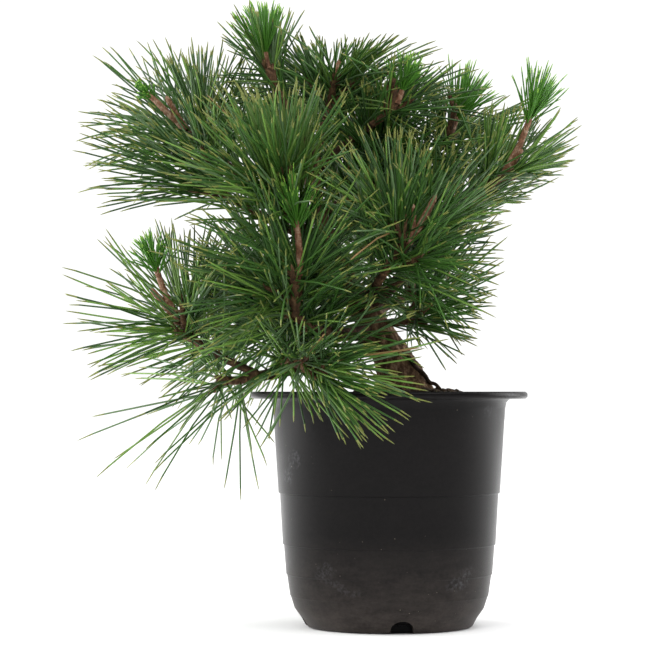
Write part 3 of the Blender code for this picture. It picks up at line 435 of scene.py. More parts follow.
# A circle at the first frame is extruded from frame to frame; gives the last ring's edges
def extrudeRings(shape, frames, segments, closed=True):
    ring = bmesh.ops.create_circle(
        shape, cap_ends=closed, segments=segments, radius=1.0, matrix=frames[0])["verts"]
    edges = list(dict.fromkeys(edge for vert in ring for edge in vert.link_edges))
    for before, after in zip(frames, frames[1:]):
        grown = bmesh.ops.extrude_edge_only(shape, edges=edges)["geom"]
        ring = [item for item in grown if isinstance(item, bmesh.types.BMVert)]
        edges = [item for item in grown if isinstance(item, bmesh.types.BMEdge)
                 and item.verts[0] in ring and item.verts[1] in ring]
        bmesh.ops.transform(shape, matrix=after @ before.inverted(), verts=ring)
    return edges


# A closed tube with its normals ready for a relief
def sweepTube(points, radii, segments):
    points = [Vector(point) for point in points]
    side = (points[1] - points[0]).orthogonal()
    frames = []
    for k, point in enumerate(points):
        along = points[min(k + 1, len(points) - 1)] - points[max(k - 1, 0)]
        placed, side = frameAt(point, along, radii[k], side)
        frames.append(placed)
    shape = bmesh.new()
    bmesh.ops.contextual_create(shape, geom=extrudeRings(shape, frames, segments))
    bmesh.ops.recalc_face_normals(shape, faces=shape.faces)
    return settle(shape)


def join(shape, part):
    mesh = meshFrom(part, "part")
    shape.from_mesh(mesh)
    bpy.data.meshes.remove(mesh)


# One mesh of many copies of a small one, with a place for each vertex of each copy
def copiesOf(one, name, places):
    count, perCopy = places.shape[:2]
    corners = np.array([loop.vertex_index for loop in one.loops])
    sizes = np.tile([face.loop_total for face in one.polygons], count)
    slots = np.tile([face.material_index for face in one.polygons], count)
    loops = corners[None] + np.arange(count)[:, None] * perCopy
    mesh = bpy.data.meshes.new(name)
    mesh.vertices.add(count * perCopy)
    mesh.vertices.foreach_set("co", places.reshape(-1))
    mesh.loops.add(loops.size)
    mesh.loops.foreach_set("vertex_index", loops.reshape(-1))
    mesh.polygons.add(len(sizes))
    mesh.polygons.foreach_set("loop_start", np.cumsum(sizes) - sizes)
    mesh.polygons.foreach_set("material_index", slots)
    mesh.update(calc_edges=True)
    bpy.data.meshes.remove(one)
    return mesh


def cellEdge(place, steepness):  # 0 between two cells of bark and 1 inside one
    distances = noise.voronoi(place)[0]
    return min((distances[1] - distances[0]) * steepness, 1.0)


# Limbs and shoots grow by the same rule as in the solids
def limbPoint(limb, t):
    points = [Vector(point) for point in limb["controls"]]
    while len(points) > 1:
        points = [a.lerp(b, t) for a, b in zip(points, points[1:])]
    return points[0]


def limbHeading(limb, t):
    step = 0.02
    return (limbPoint(limb, min(t + step, 1.0)) - limbPoint(limb, t - step)).normalized()


def limbRadius(limb, t):
    along = max(t, 0.0)
    wood = limb["radii"][1] + (limb["radii"][0] - limb["radii"][1]) * (1.0 - along) ** limb.get("taper", 1.0)
    return wood + limb.get("flare", 0.0) * math.exp(-along / limb.get("flareLength", 1.0))


def growLimbs():
    limbs = {"trunk": trunkPlan}
    for name, (carrier, at, bend, tip, rootRadius, tipRadius) in boughPlan.items():
        start = limbPoint(limbs[carrier], at)
        limbs[name] = {"controls": [start, bend, tip], "radii": (rootRadius, tipRadius)}
    return limbs


shootPlan = {
    "stemRadius": 0.0028, "sideRadius": 0.0023, "tipRadius": 0.0017, "collar": 0.0022, "knee": 0.45,
    "sideFrom": 0.45, "sideOver": 0.40, "turnJitter": 0.3, "spreadJitter": 6.0, "sideLength": (0.85, 1.15),
    "candleRadii": (0.0024, 0.0017), "candleSink": 0.0020, "lift": 0.30, "seed": 41,
    "woodPoints": 60, "room": 0.0085, "roomPoints": 12,
    "footPoints": 3,  # the points at a shoot's foot needn't be clear
}


def bendPoints(start, first, last, length, steps):
    knee = start + first * length * shootPlan["knee"]
    curve = {"controls": [start, knee, knee + last * length * (1.0 - shootPlan["knee"])]}
    return [limbPoint(curve, i / steps) for i in range(steps + 1)]


def tilt(direction, degrees, azimuth):
    side = direction.orthogonal().normalized()
    side = Matrix.Rotation(azimuth, 3, direction) @ side
    return (Matrix.Rotation(math.radians(degrees), 3, side) @ direction).normalized()


def shootOf(points, radii, kind, young=False):
    return {"points": [Vector(point) for point in points], "radii": radii, "kind": kind, "young": young}


def alongShoot(shoot, share):
    spot = share * (len(shoot["points"]) - 1)
    index = min(int(spot), len(shoot["points"]) - 2)
    a, b = shoot["points"][index], shoot["points"][index + 1]
    return a.lerp(b, spot - index), (b - a).normalized()


def shootPoints(shoots, count):
    shares = np.linspace(0.0, 1.0, count)
    return np.array([alongShoot(shoot, share)[0] for shoot in shoots for share in shares])


def growStem(mass, limbs):
    limb = limbs[mass["limb"]]
    aim = Vector(mass["aim"]).normalized()
    if mass["at"] < 1.0:
        points = bendPoints(limbPoint(limb, mass["at"]), aim, aim, mass["stem"], 3)
        return shootOf(points, (shootPlan["stemRadius"], shootPlan["sideRadius"]), "stem")
    first = limbHeading(limb, 1.0)
    start = limbPoint(limb, 1.0) + first * gap
    collar = shootPlan["collar"]
    points = [start] + bendPoints(start + first * collar, first, aim, mass["stem"] - collar, 3)
    radius = min(limbRadius(limb, 1.0), shootPlan["stemRadius"])
    return shootOf(points, (radius, shootPlan["sideRadius"]), "stem")


def shootsOfOthers(shootsOf, name):
    others = [shoot for other, shoots in shootsOf.items() if other != name for shoot in shoots]
    return shootPoints(others, shootPlan["roomPoints"])


def apart(points, others):
    return np.linalg.norm(points[:, None] - others[None], axis=2)


def hasRoom(shoot, others, wood, woodRadii):
    points = shootPoints([shoot], shootPlan["roomPoints"])[shootPlan["footPoints"]:]
    margin = shoot["radii"][0] + 2.0 * gap
    offWood = (apart(points, wood) - woodRadii[None]).min() > margin
    return offWood and apart(points, others).min() > shootPlan["room"]


def growSideTwigs(mass, stem, others, wood, woodRadii, rng):
    lift = Vector((0.0, 0.0, shootPlan["lift"]))
    turnJitter, spreadJitter = shootPlan["turnJitter"], shootPlan["spreadJitter"]
    phase = math.radians(mass["phase"])
    shoots = []
    for k in range(mass["sides"]):
        share = shootPlan["sideFrom"] + shootPlan["sideOver"] * (k + rng.random()) / mass["sides"]
        foot, along = alongShoot(stem, share)
        azimuth = phase + k * math.tau / mass["sides"] + rng.uniform(-turnJitter, turnJitter)
        out = tilt(along, mass["spread"] + rng.uniform(-spreadJitter, spreadJitter), azimuth)
        out = (out + lift).normalized()
        points = bendPoints(foot, out, out, mass["side"] * rng.uniform(*shootPlan["sideLength"]), 2)
        twig = shootOf(points, (shootPlan["sideRadius"], shootPlan["tipRadius"]), "side")
        if hasRoom(twig, others, wood, woodRadii):
            shoots.append(twig)
    return shoots


def growCandles(mass, stem, others, wood, woodRadii):
    tip = stem["points"][-1]
    aim = (tip - stem["points"][-2]).normalized()
    sink = shootPlan["candleSink"]
    shoots = []
    for length, lean, azimuth in mass["candles"]:
        side = Vector((math.cos(math.radians(azimuth)), math.sin(math.radians(azimuth)), 0.0))
        out = Vector((0.0, 0.0, math.cos(math.radians(lean)))) + side * math.sin(math.radians(lean))
        points = bendPoints(tip - aim * sink, (out + aim).normalized(), out, length + sink, 2)
        candle = shootOf(points, shootPlan["candleRadii"], "candle", bool(mass["tuft"]) and not shoots)
        if hasRoom(candle, others, wood, woodRadii):
            shoots.append(candle)
    return shoots


fineTwigs = {
    "perSide": 1, "from": (0.35, 0.9), "length": 0.55, "lengthShare": (0.8, 1.3), "spread": 34.0,
    "spreadJitter": 10.0, "lift": 0.35, "radii": (0.0016, 0.0012), "seed": 907,
}


def growFineTwigs(shoots, mass, rng):  # shorter twigs on the stem and on its side shoots
    lift = Vector((0.0, 0.0, fineTwigs["lift"]))
    jitter = fineTwigs["spreadJitter"]
    fine = []
    for shoot in shoots:
        if shoot["kind"] == "candle":
            continue
        for k in range(fineTwigs["perSide"]):
            foot, along = alongShoot(shoot, rng.uniform(*fineTwigs["from"]))
            out = tilt(along, fineTwigs["spread"] + rng.uniform(-jitter, jitter), rng.uniform(0.0, math.tau))
            length = mass["side"] * fineTwigs["length"] * rng.uniform(*fineTwigs["lengthShare"])
            points = bendPoints(foot, out, (out + lift).normalized(), length, 3)
            fine.append(shootOf(points, fineTwigs["radii"], "fine"))
    return fine


def olderGrowth(mass, limbs):  # a bough's outer part bears needles too, as a shoot without wood of its own
    shares = np.linspace(needlePlan["boughBare"], 1.0, needlePlan["boughPoints"])
    return shootOf([limbPoint(limbs[mass["limb"]], t) for t in shares], (0.0, 0.0), "bough")


def growShoots(limbs):
    shares = np.linspace(0.0, 1.0, shootPlan["woodPoints"])
    wood = np.array([limbPoint(limb, t) for limb in limbs.values() for t in shares])
    woodRadii = np.array([limbRadius(limb, t) for limb in limbs.values() for t in shares])
    stems = {name: growStem(mass, limbs) for name, mass in massPlan.items()}
    shootsOf = {name: [stem] for name, stem in stems.items()}
    for name, mass in massPlan.items():
        others = shootsOfOthers(shootsOf, name)
        shootsOf[name] += growCandles(mass, stems[name], others, wood, woodRadii)
    for k, (name, mass) in enumerate(massPlan.items()):
        rng = random.Random(shootPlan["seed"] * 1000 + k)
        others = shootsOfOthers(shootsOf, name)
        shootsOf[name] += growSideTwigs(mass, stems[name], others, wood, woodRadii, rng)
    fineRng = random.Random(fineTwigs["seed"])
    for name, shoots in shootsOf.items():
        shoots += growFineTwigs(shoots, massPlan[name], fineRng)
        if massPlan[name]["at"] == 1.0 and massPlan[name]["limb"] in boughPlan:
            shoots.append(olderGrowth(massPlan[name], limbs))
    return shootsOf


needlePlan = {
    "perShoot": {"stem": 30, "side": 20, "fine": 8, "candle": 34, "bough": 15},
    "start": {"stem": 0.12, "side": 0.18, "fine": 0.15, "candle": 0.78, "bough": 0.0},
    "boughBare": 0.45, "boughPoints": 9, "crowding": 0.9, "tuftOpen": (46.0, 6.0),
    "spreadJitter": 7.0, "turnJitter": 0.25,
    "riseShare": (0.2, 1.0), "hangingAim": -2.5, "lengthShare": (0.80, 1.06), "secondShare": (0.93, 1.0),
    "pairAngle": 7.0, "pairShare": (0.4, 1.3), "width": 0.00070, "tuftWidth": 0.00056,
    "stations": (0.0, 0.05, 0.45, 0.89, 0.97), "girth": (0.80, 0.92, 1.0, 0.86, 0.50),
    "sag": 0.09, "curl": 0.075, "shortest": 0.50, "probes": (0.12, 1.0, 12),
    "ragged": 0.012, "raggedMost": 0.05, "tuftRagged": 0.2,
    "barePoints": 16, "barePart": {"candle": 0.0030, "stem": 0.0030, "tuft": 0.0075},
    "bareShare": {"candle": 0.85, "stem": 0.5, "tuft": 0.65},
    "bareStems": ("needles_low_left_rise", "needles_front_mid", "needles_front_high"),
    "tuftHeads": (0.0, 0.3, 0.6),
    "fuller": {"needles_low_mid": 1.7, "needles_low_left": 0.9, "needles_back_low": 1.5,
               "needles_front_mid": 1.25, "needles_back_mid": 1.3, "needles_trunk_back": 1.3,
               "needles_top_left": 3.0, "needles_low_left_rise": 1.4, "needles_back_high": 1.4,
               "needles_upper_right": 1.4, "needles_upper_mid": 1.5},
    "steepest": {"needles_low_left": -0.56, "needles_front_low": -0.76},
    "greenShare": 0.6, "deadShare": 0.003, "seed": 17,
}

greens = {  # colour of each kind of needle, and how often a spray gets it
    "needlesDeep": (srgb(46, 78, 30), 0.26),
    "needlesMid": (srgb(62, 102, 38), 0.30),
    "needlesOlive": (srgb(82, 112, 44), 0.18),
    "needlesGrey": (srgb(94, 122, 80), 0.14),
    "needlesLight": (srgb(108, 146, 62), 0.12),
}

otherNeedles = {
    "sheath": srgb(112, 92, 66), "tip": srgb(122, 130, 62), "young": srgb(76, 130, 40),
    "youngTip": srgb(134, 180, 66), "dead": srgb(138, 110, 66),
}


def withinCrown(line, top, bottom, slack):
    x, y, z = line[..., 0], line[..., 1], line[..., 2]
    right = crown["rightLow"] + crown["rightSlope"] * np.maximum(z - crown["rightTurn"], 0.0)
    right -= crown["tuck"] * np.maximum(crown["tuckTurn"] - z, 0.0)
    good = (x > crown["left"] + slack * crown["leftSlack"]) & (x < np.minimum(right, crown["right"]) - slack)
    good &= (y > crown["front"]) & (y < crown["back"])
    good &= z > max(crown["bottom"], bottom) + slack
    good &= z < min(crown["top"], top) - slack * crown["topSlack"]
    return good & ((z > crown["mouth"]) | (np.hypot(x, y) > crown["rim"]))


def unit(vectors):
    return vectors / np.linalg.norm(vectors, axis=-1, keepdims=True)


def sidesOf(heading):
    helper = np.where(np.abs(heading[:, 2:]) < 0.9, [[0.0, 0.0, 1.0]], [[1.0, 0.0, 0.0]])
    across = unit(np.cross(heading, helper))
    return across, np.cross(heading, across)


def needleLines(feet, heading, length, bend, stations):
    run = stations[None, :, None]
    return feet[:, None] + length[:, None, None] * (heading[:, None] * run + bend[:, None] * run ** 2)


def seenAt(points):  # where the photograph's camera sees points, and how far off they are
    away = points - np.array(studio["cameraPlace"])
    return away[..., [0, 2]] / away[..., 1:2] * -studio["cameraPlace"][1], away[..., 1]


# Bare candles, bare stems and tufts, as the camera sees them
def findBarePlaces(shootsOf):
    places = {}
    for kind, names in (("candle", massPlan), ("stem", needlePlan["bareStems"])):
        bare = [shoot for name in names for shoot in shootsOf[name] if shoot["kind"] == kind]
        places[kind] = seenAt(shootPoints(bare, needlePlan["barePoints"]))
    heads = [shoot["points"][-1] + alongShoot(shoot, 1.0)[1] * massPlan[name]["tuft"] * share
             for name, shoots in shootsOf.items() for shoot in shoots if shoot["young"]
             for share in needlePlan["tuftHeads"]]
    places["tuft"] = seenAt(np.array(heads))
    return places


# Some of the needles that would cross in front of a bare place are left out
def hidesBare(line, barePlaces, rng):
    spots, depth = seenAt(line)
    hidden = np.zeros(len(line), bool)
    for kind, (bareSpots, bareDepth) in barePlaces.items():
        off = np.linalg.norm(spots[:, :, None] - bareSpots[None, None], axis=3)
        before = depth[:, :, None] < bareDepth[None, None]
        near = off < needlePlan["barePart"][kind]
        hidden |= (near & before).any(axis=(1, 2)) & (rng.random(len(line)) < needlePlan["bareShare"][kind])
    return hidden


# Needles lie closer to a shoot near its tip, turn round it by the golden angle, and rise with their mass
def needleHeadings(kind, name, along, share, rng):
    mass, pairs = massPlan[name], len(share)
    low, high = needlePlan["tuftOpen"] if kind == "candle" else mass["opening"]
    opening = np.radians(low + (high - low) * share + rng.normal(0.0, needlePlan["spreadJitter"], pairs))
    azimuth = rng.uniform(0.0, math.tau) + np.arange(pairs) * goldenAngle
    azimuth += rng.normal(0.0, needlePlan["turnJitter"], pairs)
    across, upward = sidesOf(along)
    out = across * np.cos(azimuth)[:, None] + upward * np.sin(azimuth)[:, None]
    heading = along * np.cos(opening)[:, None] + out * np.sin(opening)[:, None]
    heading[:, 2] += mass["rise"] * rng.uniform(*needlePlan["riseShare"], pairs)
    heading = unit(heading)
    level = unit(heading[:, :2])
    heading[:, 2] = np.maximum(heading[:, 2], needlePlan["steepest"].get(name, -1.0))
    heading[:, :2] = level * np.sqrt(1.0 - heading[:, 2:] ** 2)
    if kind == "stem":
        heading[:mass["hanging"], 2] = needlePlan["hangingAim"]
    return unit(heading)


# Feet, headings, lengths, widths and bends of a shoot's needles, two to a sheath
def growNeedles(shoot, name, barePlaces, rng):
    mass, kind = massPlan[name], shoot["kind"]
    tuft = kind == "candle"
    if tuft and not shoot["young"]:
        return None
    fill = 1.0 if kind in ("candle", "bough") else mass["fill"] * needlePlan["fuller"].get(name, 1.0)
    pairs = round(needlePlan["perShoot"][kind] * fill)
    start = needlePlan["start"][kind]
    share = np.sort(rng.uniform(0.0, 1.0, pairs)) ** needlePlan["crowding"]
    spots = [alongShoot(shoot, start + (1.0 - start) * s) for s in share]
    feet, along = (np.array(part) for part in zip(*spots))
    heading = needleHeadings(kind, name, along, share, rng)
    length = mass["tuft" if tuft else "needle"] * rng.uniform(*needlePlan["lengthShare"], pairs)
    apartBy = math.radians(needlePlan["pairAngle"]) * rng.uniform(*needlePlan["pairShare"], pairs)[:, None]
    split = unit(np.cross(heading, unit(rng.normal(0.0, 1.0, (pairs, 3)))))
    feet = np.concatenate([feet, feet])
    heading = np.concatenate([unit(heading + split * apartBy / 2), unit(heading - split * apartBy / 2)])
    length = np.concatenate([length, length * rng.uniform(*needlePlan["secondShare"], pairs)])
    bend = rng.normal(0.0, needlePlan["curl"], (2 * pairs, 3))
    bend[:, 2] -= needlePlan["sag"] * np.hypot(heading[:, 0], heading[:, 1])
    probes = np.linspace(*needlePlan["probes"])
    line = needleLines(feet, heading, length, bend, probes)
    slack = np.minimum(rng.exponential(needlePlan["ragged"], 2 * pairs), needlePlan["raggedMost"])[:, None]
    slack[:2] = 0.0
    if tuft:
        good = withinCrown(line, crown["top"], crown["bottom"], slack * needlePlan["tuftRagged"])
    else:
        good = withinCrown(line, mass["top"] + crown["overMass"], mass["bottom"], slack)
    free = np.where(good.all(axis=1), 1.0, probes[np.maximum(np.argmin(good, axis=1) - 1, 0)])
    keep = free >= needlePlan["shortest"]
    if not tuft:
        keep &= ~hidesBare(line, barePlaces, rng)
    widths = np.full(len(length), needlePlan["tuftWidth" if tuft else "width"])
    return feet[keep], heading[keep], (length * free)[keep], widths[keep], (bend * free[:, None])[keep]


# A straight needle of three sides, 1 long: sheath, blade and tip are material slots 0, 1 and 2
def straightNeedle():
    stations = needlePlan["stations"]
    turn = Matrix.Rotation(-math.pi / 2, 4, "Z")
    frames = [Matrix.Translation((0.0, 0.0, station)) @ Matrix.Diagonal((girth, girth, 1.0, 1.0)) @ turn
              for station, girth in zip(stations, needlePlan["girth"])]
    shape = bmesh.new()
    grown = bmesh.ops.extrude_edge_only(shape, edges=extrudeRings(shape, frames, 3, False))["geom"]
    point = [item for item in grown if isinstance(item, bmesh.types.BMVert)]
    bmesh.ops.pointmerge(shape, verts=point, merge_co=(0.0, 0.0, 1.0))
    bmesh.ops.recalc_face_normals(shape, faces=shape.faces)
    for face in shape.faces:
        middle = face.calc_center_median().z
        face.material_index = 0 if middle < stations[1] else 2 if middle > stations[-2] else 1
    return meshFrom(shape, "straightNeedle")


# Each needle is the straight one, given its width and laid along its own line
def needleMesh(name, feet, heading, length, width, bend):
    one = straightNeedle()
    x, y, z = np.array([vert.co for vert in one.vertices]).T
    across, upward = sidesOf(heading)
    rim = across[:, None] * x[None, :, None] + upward[:, None] * y[None, :, None]
    places = needleLines(feet, heading, length, bend, z) + width[:, None, None] * rim
    return copiesOf(one, name, places)


# Most needles of a spray share its green; a few take another one, or are dead
def dealNeedles(shootsOf):
    rng = np.random.default_rng(needlePlan["seed"])
    barePlaces = findBarePlaces(shootsOf)
    kinds = list(greens)
    weights = np.array([share for colour, share in greens.values()])
    buckets = {kind: [] for kind in kinds + ["needlesYoung", "needlesDead"]}
    for name, shoots in shootsOf.items():
        for shoot in shoots:
            grown = growNeedles(shoot, name, barePlaces, rng)
            if grown is None:
                continue
            if shoot["kind"] == "candle":
                buckets["needlesYoung"].append(grown)
                continue
            count = len(grown[0])
            main = rng.choice(len(kinds), p=weights)
            asSpray = rng.random(count) < needlePlan["greenShare"]
            pick = np.where(asSpray, main, rng.choice(len(kinds), count, p=weights))
            dead = rng.random(count) < needlePlan["deadShare"]
            for k, kind in enumerate(kinds):
                buckets[kind].append(tuple(part[(pick == k) & ~dead] for part in grown))
            buckets["needlesDead"].append(tuple(part[dead] for part in grown))
    return buckets


def makeNeedles(shootsOf):
    sheath = needleFinish("needleSheath", otherNeedles["sheath"], 0.7, 0.2)
    tip = needleFinish("needleTip", otherNeedles["tip"])
    youngTip = needleFinish("youngNeedleTip", otherNeedles["youngTip"])
    young = needleFinish("needlesYoung", otherNeedles["young"])
    dead = needleFinish("needlesDead", otherNeedles["dead"], 0.6)
    looks = {"needlesYoung": [sheath, young, youngTip], "needlesDead": [sheath, dead, dead]}
    total = 0
    for kind, grown in dealNeedles(shootsOf).items():
        parts = [np.concatenate(part) for part in zip(*grown)]
        total += len(parts[0])
        mesh = needleMesh(kind, *parts)
        if kind in looks:
            pieceFrom(mesh, kind, looks[kind])
        else:
            pieceFrom(mesh, kind, [sheath, needleFinish(kind, greens[kind][0]), tip], tuple(massPlan))
    print("needles", total)


def sweepLimb(limb, shares, sides):
    return sweepTube([limbPoint(limb, t) for t in shares], [limbRadius(limb, t) for t in shares], sides)


trunkBark = {
    "sides": 72, "rings": 170, "buried": 0.06, "rootRidge": 0.0065, "rootSharpness": 6, "rootFade": 0.010,
    "plates": (150, 150, 85), "plateEdge": 2.2, "plateLevel": 0.55, "plateDepth": 0.0016,
    "roughness": 420, "roughDepth": 0.0005, "smoothHeight": 0.32, "smoothOver": 0.15, "smoothShare": 0.35,
}


def makeTrunk(limb):
    plan = trunkBark
    shares = [(1.0 + plan["buried"]) * k / plan["rings"] - plan["buried"] for k in range(plan["rings"] + 1)]
    shape = sweepLimb(limb, shares, plan["sides"])
    for vert in shape.verts:
        place = vert.co
        height = max(place.z - groundHeight, 0.0)
        away = Vector((place.x - trunkFoot.x, place.y - trunkFoot.y, 0.0))
        angle = math.atan2(away.y, away.x)
        lobe = max(math.cos(angle - math.radians(root)) for root in limb["rootAngles"])
        ridge = max(lobe, 0.0) ** plan["rootSharpness"]
        flare = plan["rootRidge"] * ridge * math.exp(-height / plan["rootFade"])
        plate = cellEdge(place * Vector(plan["plates"]), plan["plateEdge"]) - plan["plateLevel"]
        old = min(max((plan["smoothHeight"] - place.z) / plan["smoothOver"], 0.0), 1.0)
        size = plan["smoothShare"] + (1.0 - plan["smoothShare"]) * old
        fine = noise.fractal(place * plan["roughness"], 1.0, 2.0, 4)
        relief = size * (plan["plateDepth"] * plate + plan["roughDepth"] * fine)
        vert.co += vert.normal * relief + (away.normalized() * flare if flare > 1e-5 else Vector())
    return pieceFrom(shape, "trunkBark", [barkFinish()], ("trunk",))


boughBark = {
    "sides": 20, "rings": 44, "scales": 420, "scaleEdge": 2.0, "scaleLevel": 0.5, "scaleDepth": 0.00045,
    "lumps": 160, "lumpDepth": 0.0006,
}


def makeBoughs(limbs):
    plan = boughBark
    shares = [k / plan["rings"] for k in range(plan["rings"] + 1)]
    shape = bmesh.new()
    for name in boughPlan:
        part = sweepLimb(limbs[name], shares, plan["sides"])
        for vert in part.verts:
            scale = cellEdge(vert.co * plan["scales"], plan["scaleEdge"]) - plan["scaleLevel"]
            lump = noise.fractal(vert.co * plan["lumps"], 1.0, 2.0, 3)
            vert.co += vert.normal * (plan["scaleDepth"] * scale + plan["lumpDepth"] * lump)
        join(shape, part)
    return pieceFrom(shape, "boughBark", [youngBarkFinish()], tuple(boughPlan))


twigBark = {
    "sides": 10, "rings": 16, "candleRings": 26, "ridge": 0.10, "roundRings": 2.5, "endShare": 0.25,
    "scales": 900, "scaleEdge": 2.0, "scaleLevel": 0.4, "scaleDepth": 0.0004,
}


def makeTwig(shoot, rings):
    plan = twigBark
    first, last = shoot["radii"]
    points, radii = [], []
    for k in range(rings + 1):
        ridge = 1.0 + plan["ridge"] * (k % 2)
        end = max(min((rings - k) / plan["roundRings"], 1.0) ** 0.5, plan["endShare"])
        points.append(alongShoot(shoot, k / rings)[0])
        radii.append((first + (last - first) * k / rings) * ridge * end)
    part = sweepTube(points, radii, plan["sides"])
    for vert in part.verts:
        scale = cellEdge(vert.co * plan["scales"], plan["scaleEdge"]) - plan["scaleLevel"]
        vert.co += vert.normal * plan["scaleDepth"] * scale
    return part


def makeTwigs(shootsOf):
    shoots = [shoot for grown in shootsOf.values() for shoot in grown if shoot["kind"] != "bough"]
    shootBark, candleBark = bmesh.new(), bmesh.new()
    for shoot in shoots:
        if shoot["kind"] == "candle":
            join(candleBark, makeTwig(shoot, twigBark["candleRings"]))
        else:
            join(shootBark, makeTwig(shoot, twigBark["rings"]))
    brown = shootFinish("shootScales", srgb(48, 33, 22), srgb(96, 68, 44), srgb(146, 112, 78))
    pale = shootFinish("candleScales", srgb(92, 60, 42), srgb(146, 102, 74), srgb(208, 180, 154), 0.6)
    pieceFrom(shootBark, "shootBark", [brown], ())
    pieceFrom(candleBark, "candleBark", [pale], ())


rootStrand = {
    "controls": ((0.010, -0.010, 0.1760), (0.020, -0.013, 0.1660), (0.0245, -0.014, 0.1570),
                 (0.033, -0.013, 0.1535), (0.041, -0.010, 0.1500)),
    "sides": 10, "rings": 40, "radius": 0.0017, "thinning": 0.0008, "twist": 0.55, "wave": 0.0008,
}


def makeRootStrand():
    plan = rootStrand
    points, radii = [], []
    for k in range(plan["rings"] + 1):
        wave = Vector((0.0, math.cos(k * plan["twist"]), math.sin(k * plan["twist"]))) * plan["wave"]
        points.append(limbPoint(plan, k / plan["rings"]) + wave)
        radii.append(plan["radius"] - plan["thinning"] * k / plan["rings"])
    shape = sweepTube(points, radii, plan["sides"])
    material = shootFinish("rootBark", srgb(28, 20, 15), srgb(58, 42, 30), srgb(92, 70, 50), 0.9)
    return pieceFrom(shape, "rootStrand", [material], ())


potPlan = {
    "height": 0.1520, "rim": 0.0900, "rimThick": 0.0046, "round": 0.0013,
    "fillet": ((0.0786, 0.1474), (0.0764, 0.1452)), "wallTop": (0.0755, 0.1410),
    "steps": ((0.0865, 0.0720, 0.0710), (0.0532, 0.0692, 0.0685), (0.0339, 0.0670, 0.0664),
              (0.0200, 0.0644, 0.0640)),  # height, radius above and radius below
    "stepSlope": 0.0004, "foot": ((0.0615, 0.0120), (0.0570, 0.0056), (0.0545, 0.0010)),
    "base": 0.0535, "ringInner": 0.0460, "disc": 0.0220, "recess": 0.0015, "wall": 0.0022, "floor": 0.0045,
    "segments": 144, "sharpAngle": 35.0, "edgeRound": 0.00035,
    "notches": 4, "notchWidth": 0.0145, "notchHeight": 0.0078, "notchAngle": -83.0,
    "notchReach": (0.049, 0.066), "notchArch": 0.75, "archPoints": 13, "notchBelow": 0.002,
}


def potOutline():
    plan = potPlan
    rim, wall, recess = plan["rim"], plan["wall"], plan["recess"]
    under = plan["height"] - plan["rimThick"]
    side = [(rim - plan["round"], plan["height"]), (rim, plan["height"] - plan["round"])]
    side += [(rim, under + plan["round"]), (rim - plan["round"], under), *plan["fillet"], plan["wallTop"]]
    for height, above, below in plan["steps"]:
        side += [(above, height), (below, height - plan["stepSlope"])]
    side += plan["foot"]
    side += [(plan["base"], 0.0), (plan["ringInner"], 0.0), (plan["ringInner"] - recess, recess)]
    side += [(plan["disc"] + recess, recess), (plan["disc"], 0.0), (0.0, 0.0), (0.0, plan["floor"])]
    side += [(plan["base"] - wall, plan["floor"])]
    side += [(radius - wall, height + wall / 2) for radius, height in reversed(plan["foot"][:2])]
    side += [(below - wall, height) for height, above, below in reversed(plan["steps"])]
    side += [(plan["wallTop"][0] - wall, plan["wallTop"][1]), (plan["fillet"][0][0] - wall, plan["height"])]
    return side


def makePot():
    shape = bmesh.new()
    verts = [shape.verts.new((radius, 0.0, height)) for radius, height in potOutline()]
    edges = [shape.edges.new(pair) for pair in zip(verts, verts[1:] + verts[:1])]
    bmesh.ops.spin(shape, geom=verts + edges, cent=(0, 0, 0), axis=(0, 0, 1), angle=math.tau,
                   steps=potPlan["segments"], use_merge=True)
    bmesh.ops.remove_doubles(shape, verts=shape.verts, dist=1e-5)
    bmesh.ops.recalc_face_normals(shape, faces=shape.faces)
    settle(shape)
    sharpest = math.radians(potPlan["sharpAngle"])
    sharp = [edge for edge in shape.edges if edge.is_manifold and edge.calc_face_angle(0.0) > sharpest
             and abs(edge.verts[0].co.z - edge.verts[1].co.z) < 1e-5]
    bmesh.ops.bevel(shape, geom=sharp, offset=potPlan["edgeRound"], affect="EDGES", segments=2, profile=0.5,
                    material=-1, clamp_overlap=True)
    mesh = meshFrom(settle(shape), "potShell")
    pot = added("potShell", mesh)
    for k in range(potPlan["notches"]):
        cutter = makeNotchCutter(k)
        cut = pot.modifiers.new("notch", "BOOLEAN")
        cut.operation = "DIFFERENCE"
        cut.solver = "EXACT"
        cut.object = cutter
        bpy.context.view_layer.update()
        mesh = bpy.data.meshes.new_from_object(pot.evaluated_get(bpy.context.evaluated_depsgraph_get()))
        pot.modifiers.clear()
        pot.data = mesh
        bpy.data.objects.remove(cutter)
    bpy.data.objects.remove(pot)
    shape = bmesh.new()
    shape.from_mesh(mesh)
    return pieceFrom(settle(shape), "potShell", [potFinish()], ("pot",), potPlan["sharpAngle"])


def makeNotchCutter(index):
    plan = potPlan
    shape = bmesh.new()
    half, top, below = plan["notchWidth"] / 2, plan["notchHeight"], -plan["notchBelow"]
    spring = top - half * plan["notchArch"]
    turns = np.linspace(0.0, math.pi, plan["archPoints"])
    arch = [(half * math.cos(turn), spring + (top - spring) * math.sin(turn)) for turn in turns]
    near, far = plan["notchReach"]
    outline = [shape.verts.new((near, across, up)) for across, up in [(half, below), *arch, (-half, below)]]
    face = shape.faces.new(outline)
    pushed = bmesh.ops.extrude_face_region(shape, geom=[face])["geom"]
    moved = [item for item in pushed if isinstance(item, bmesh.types.BMVert)]
    bmesh.ops.translate(shape, vec=(far - near, 0, 0), verts=moved)
    turn = math.radians(plan["notchAngle"]) + index * math.tau / plan["notches"]
    bmesh.ops.rotate(shape, cent=(0, 0, 0), matrix=Matrix.Rotation(turn, 3, "Z"), verts=shape.verts)
    bmesh.ops.recalc_face_normals(shape, faces=shape.faces)
    return added("notchCutter", meshFrom(shape, "notchCutter"))


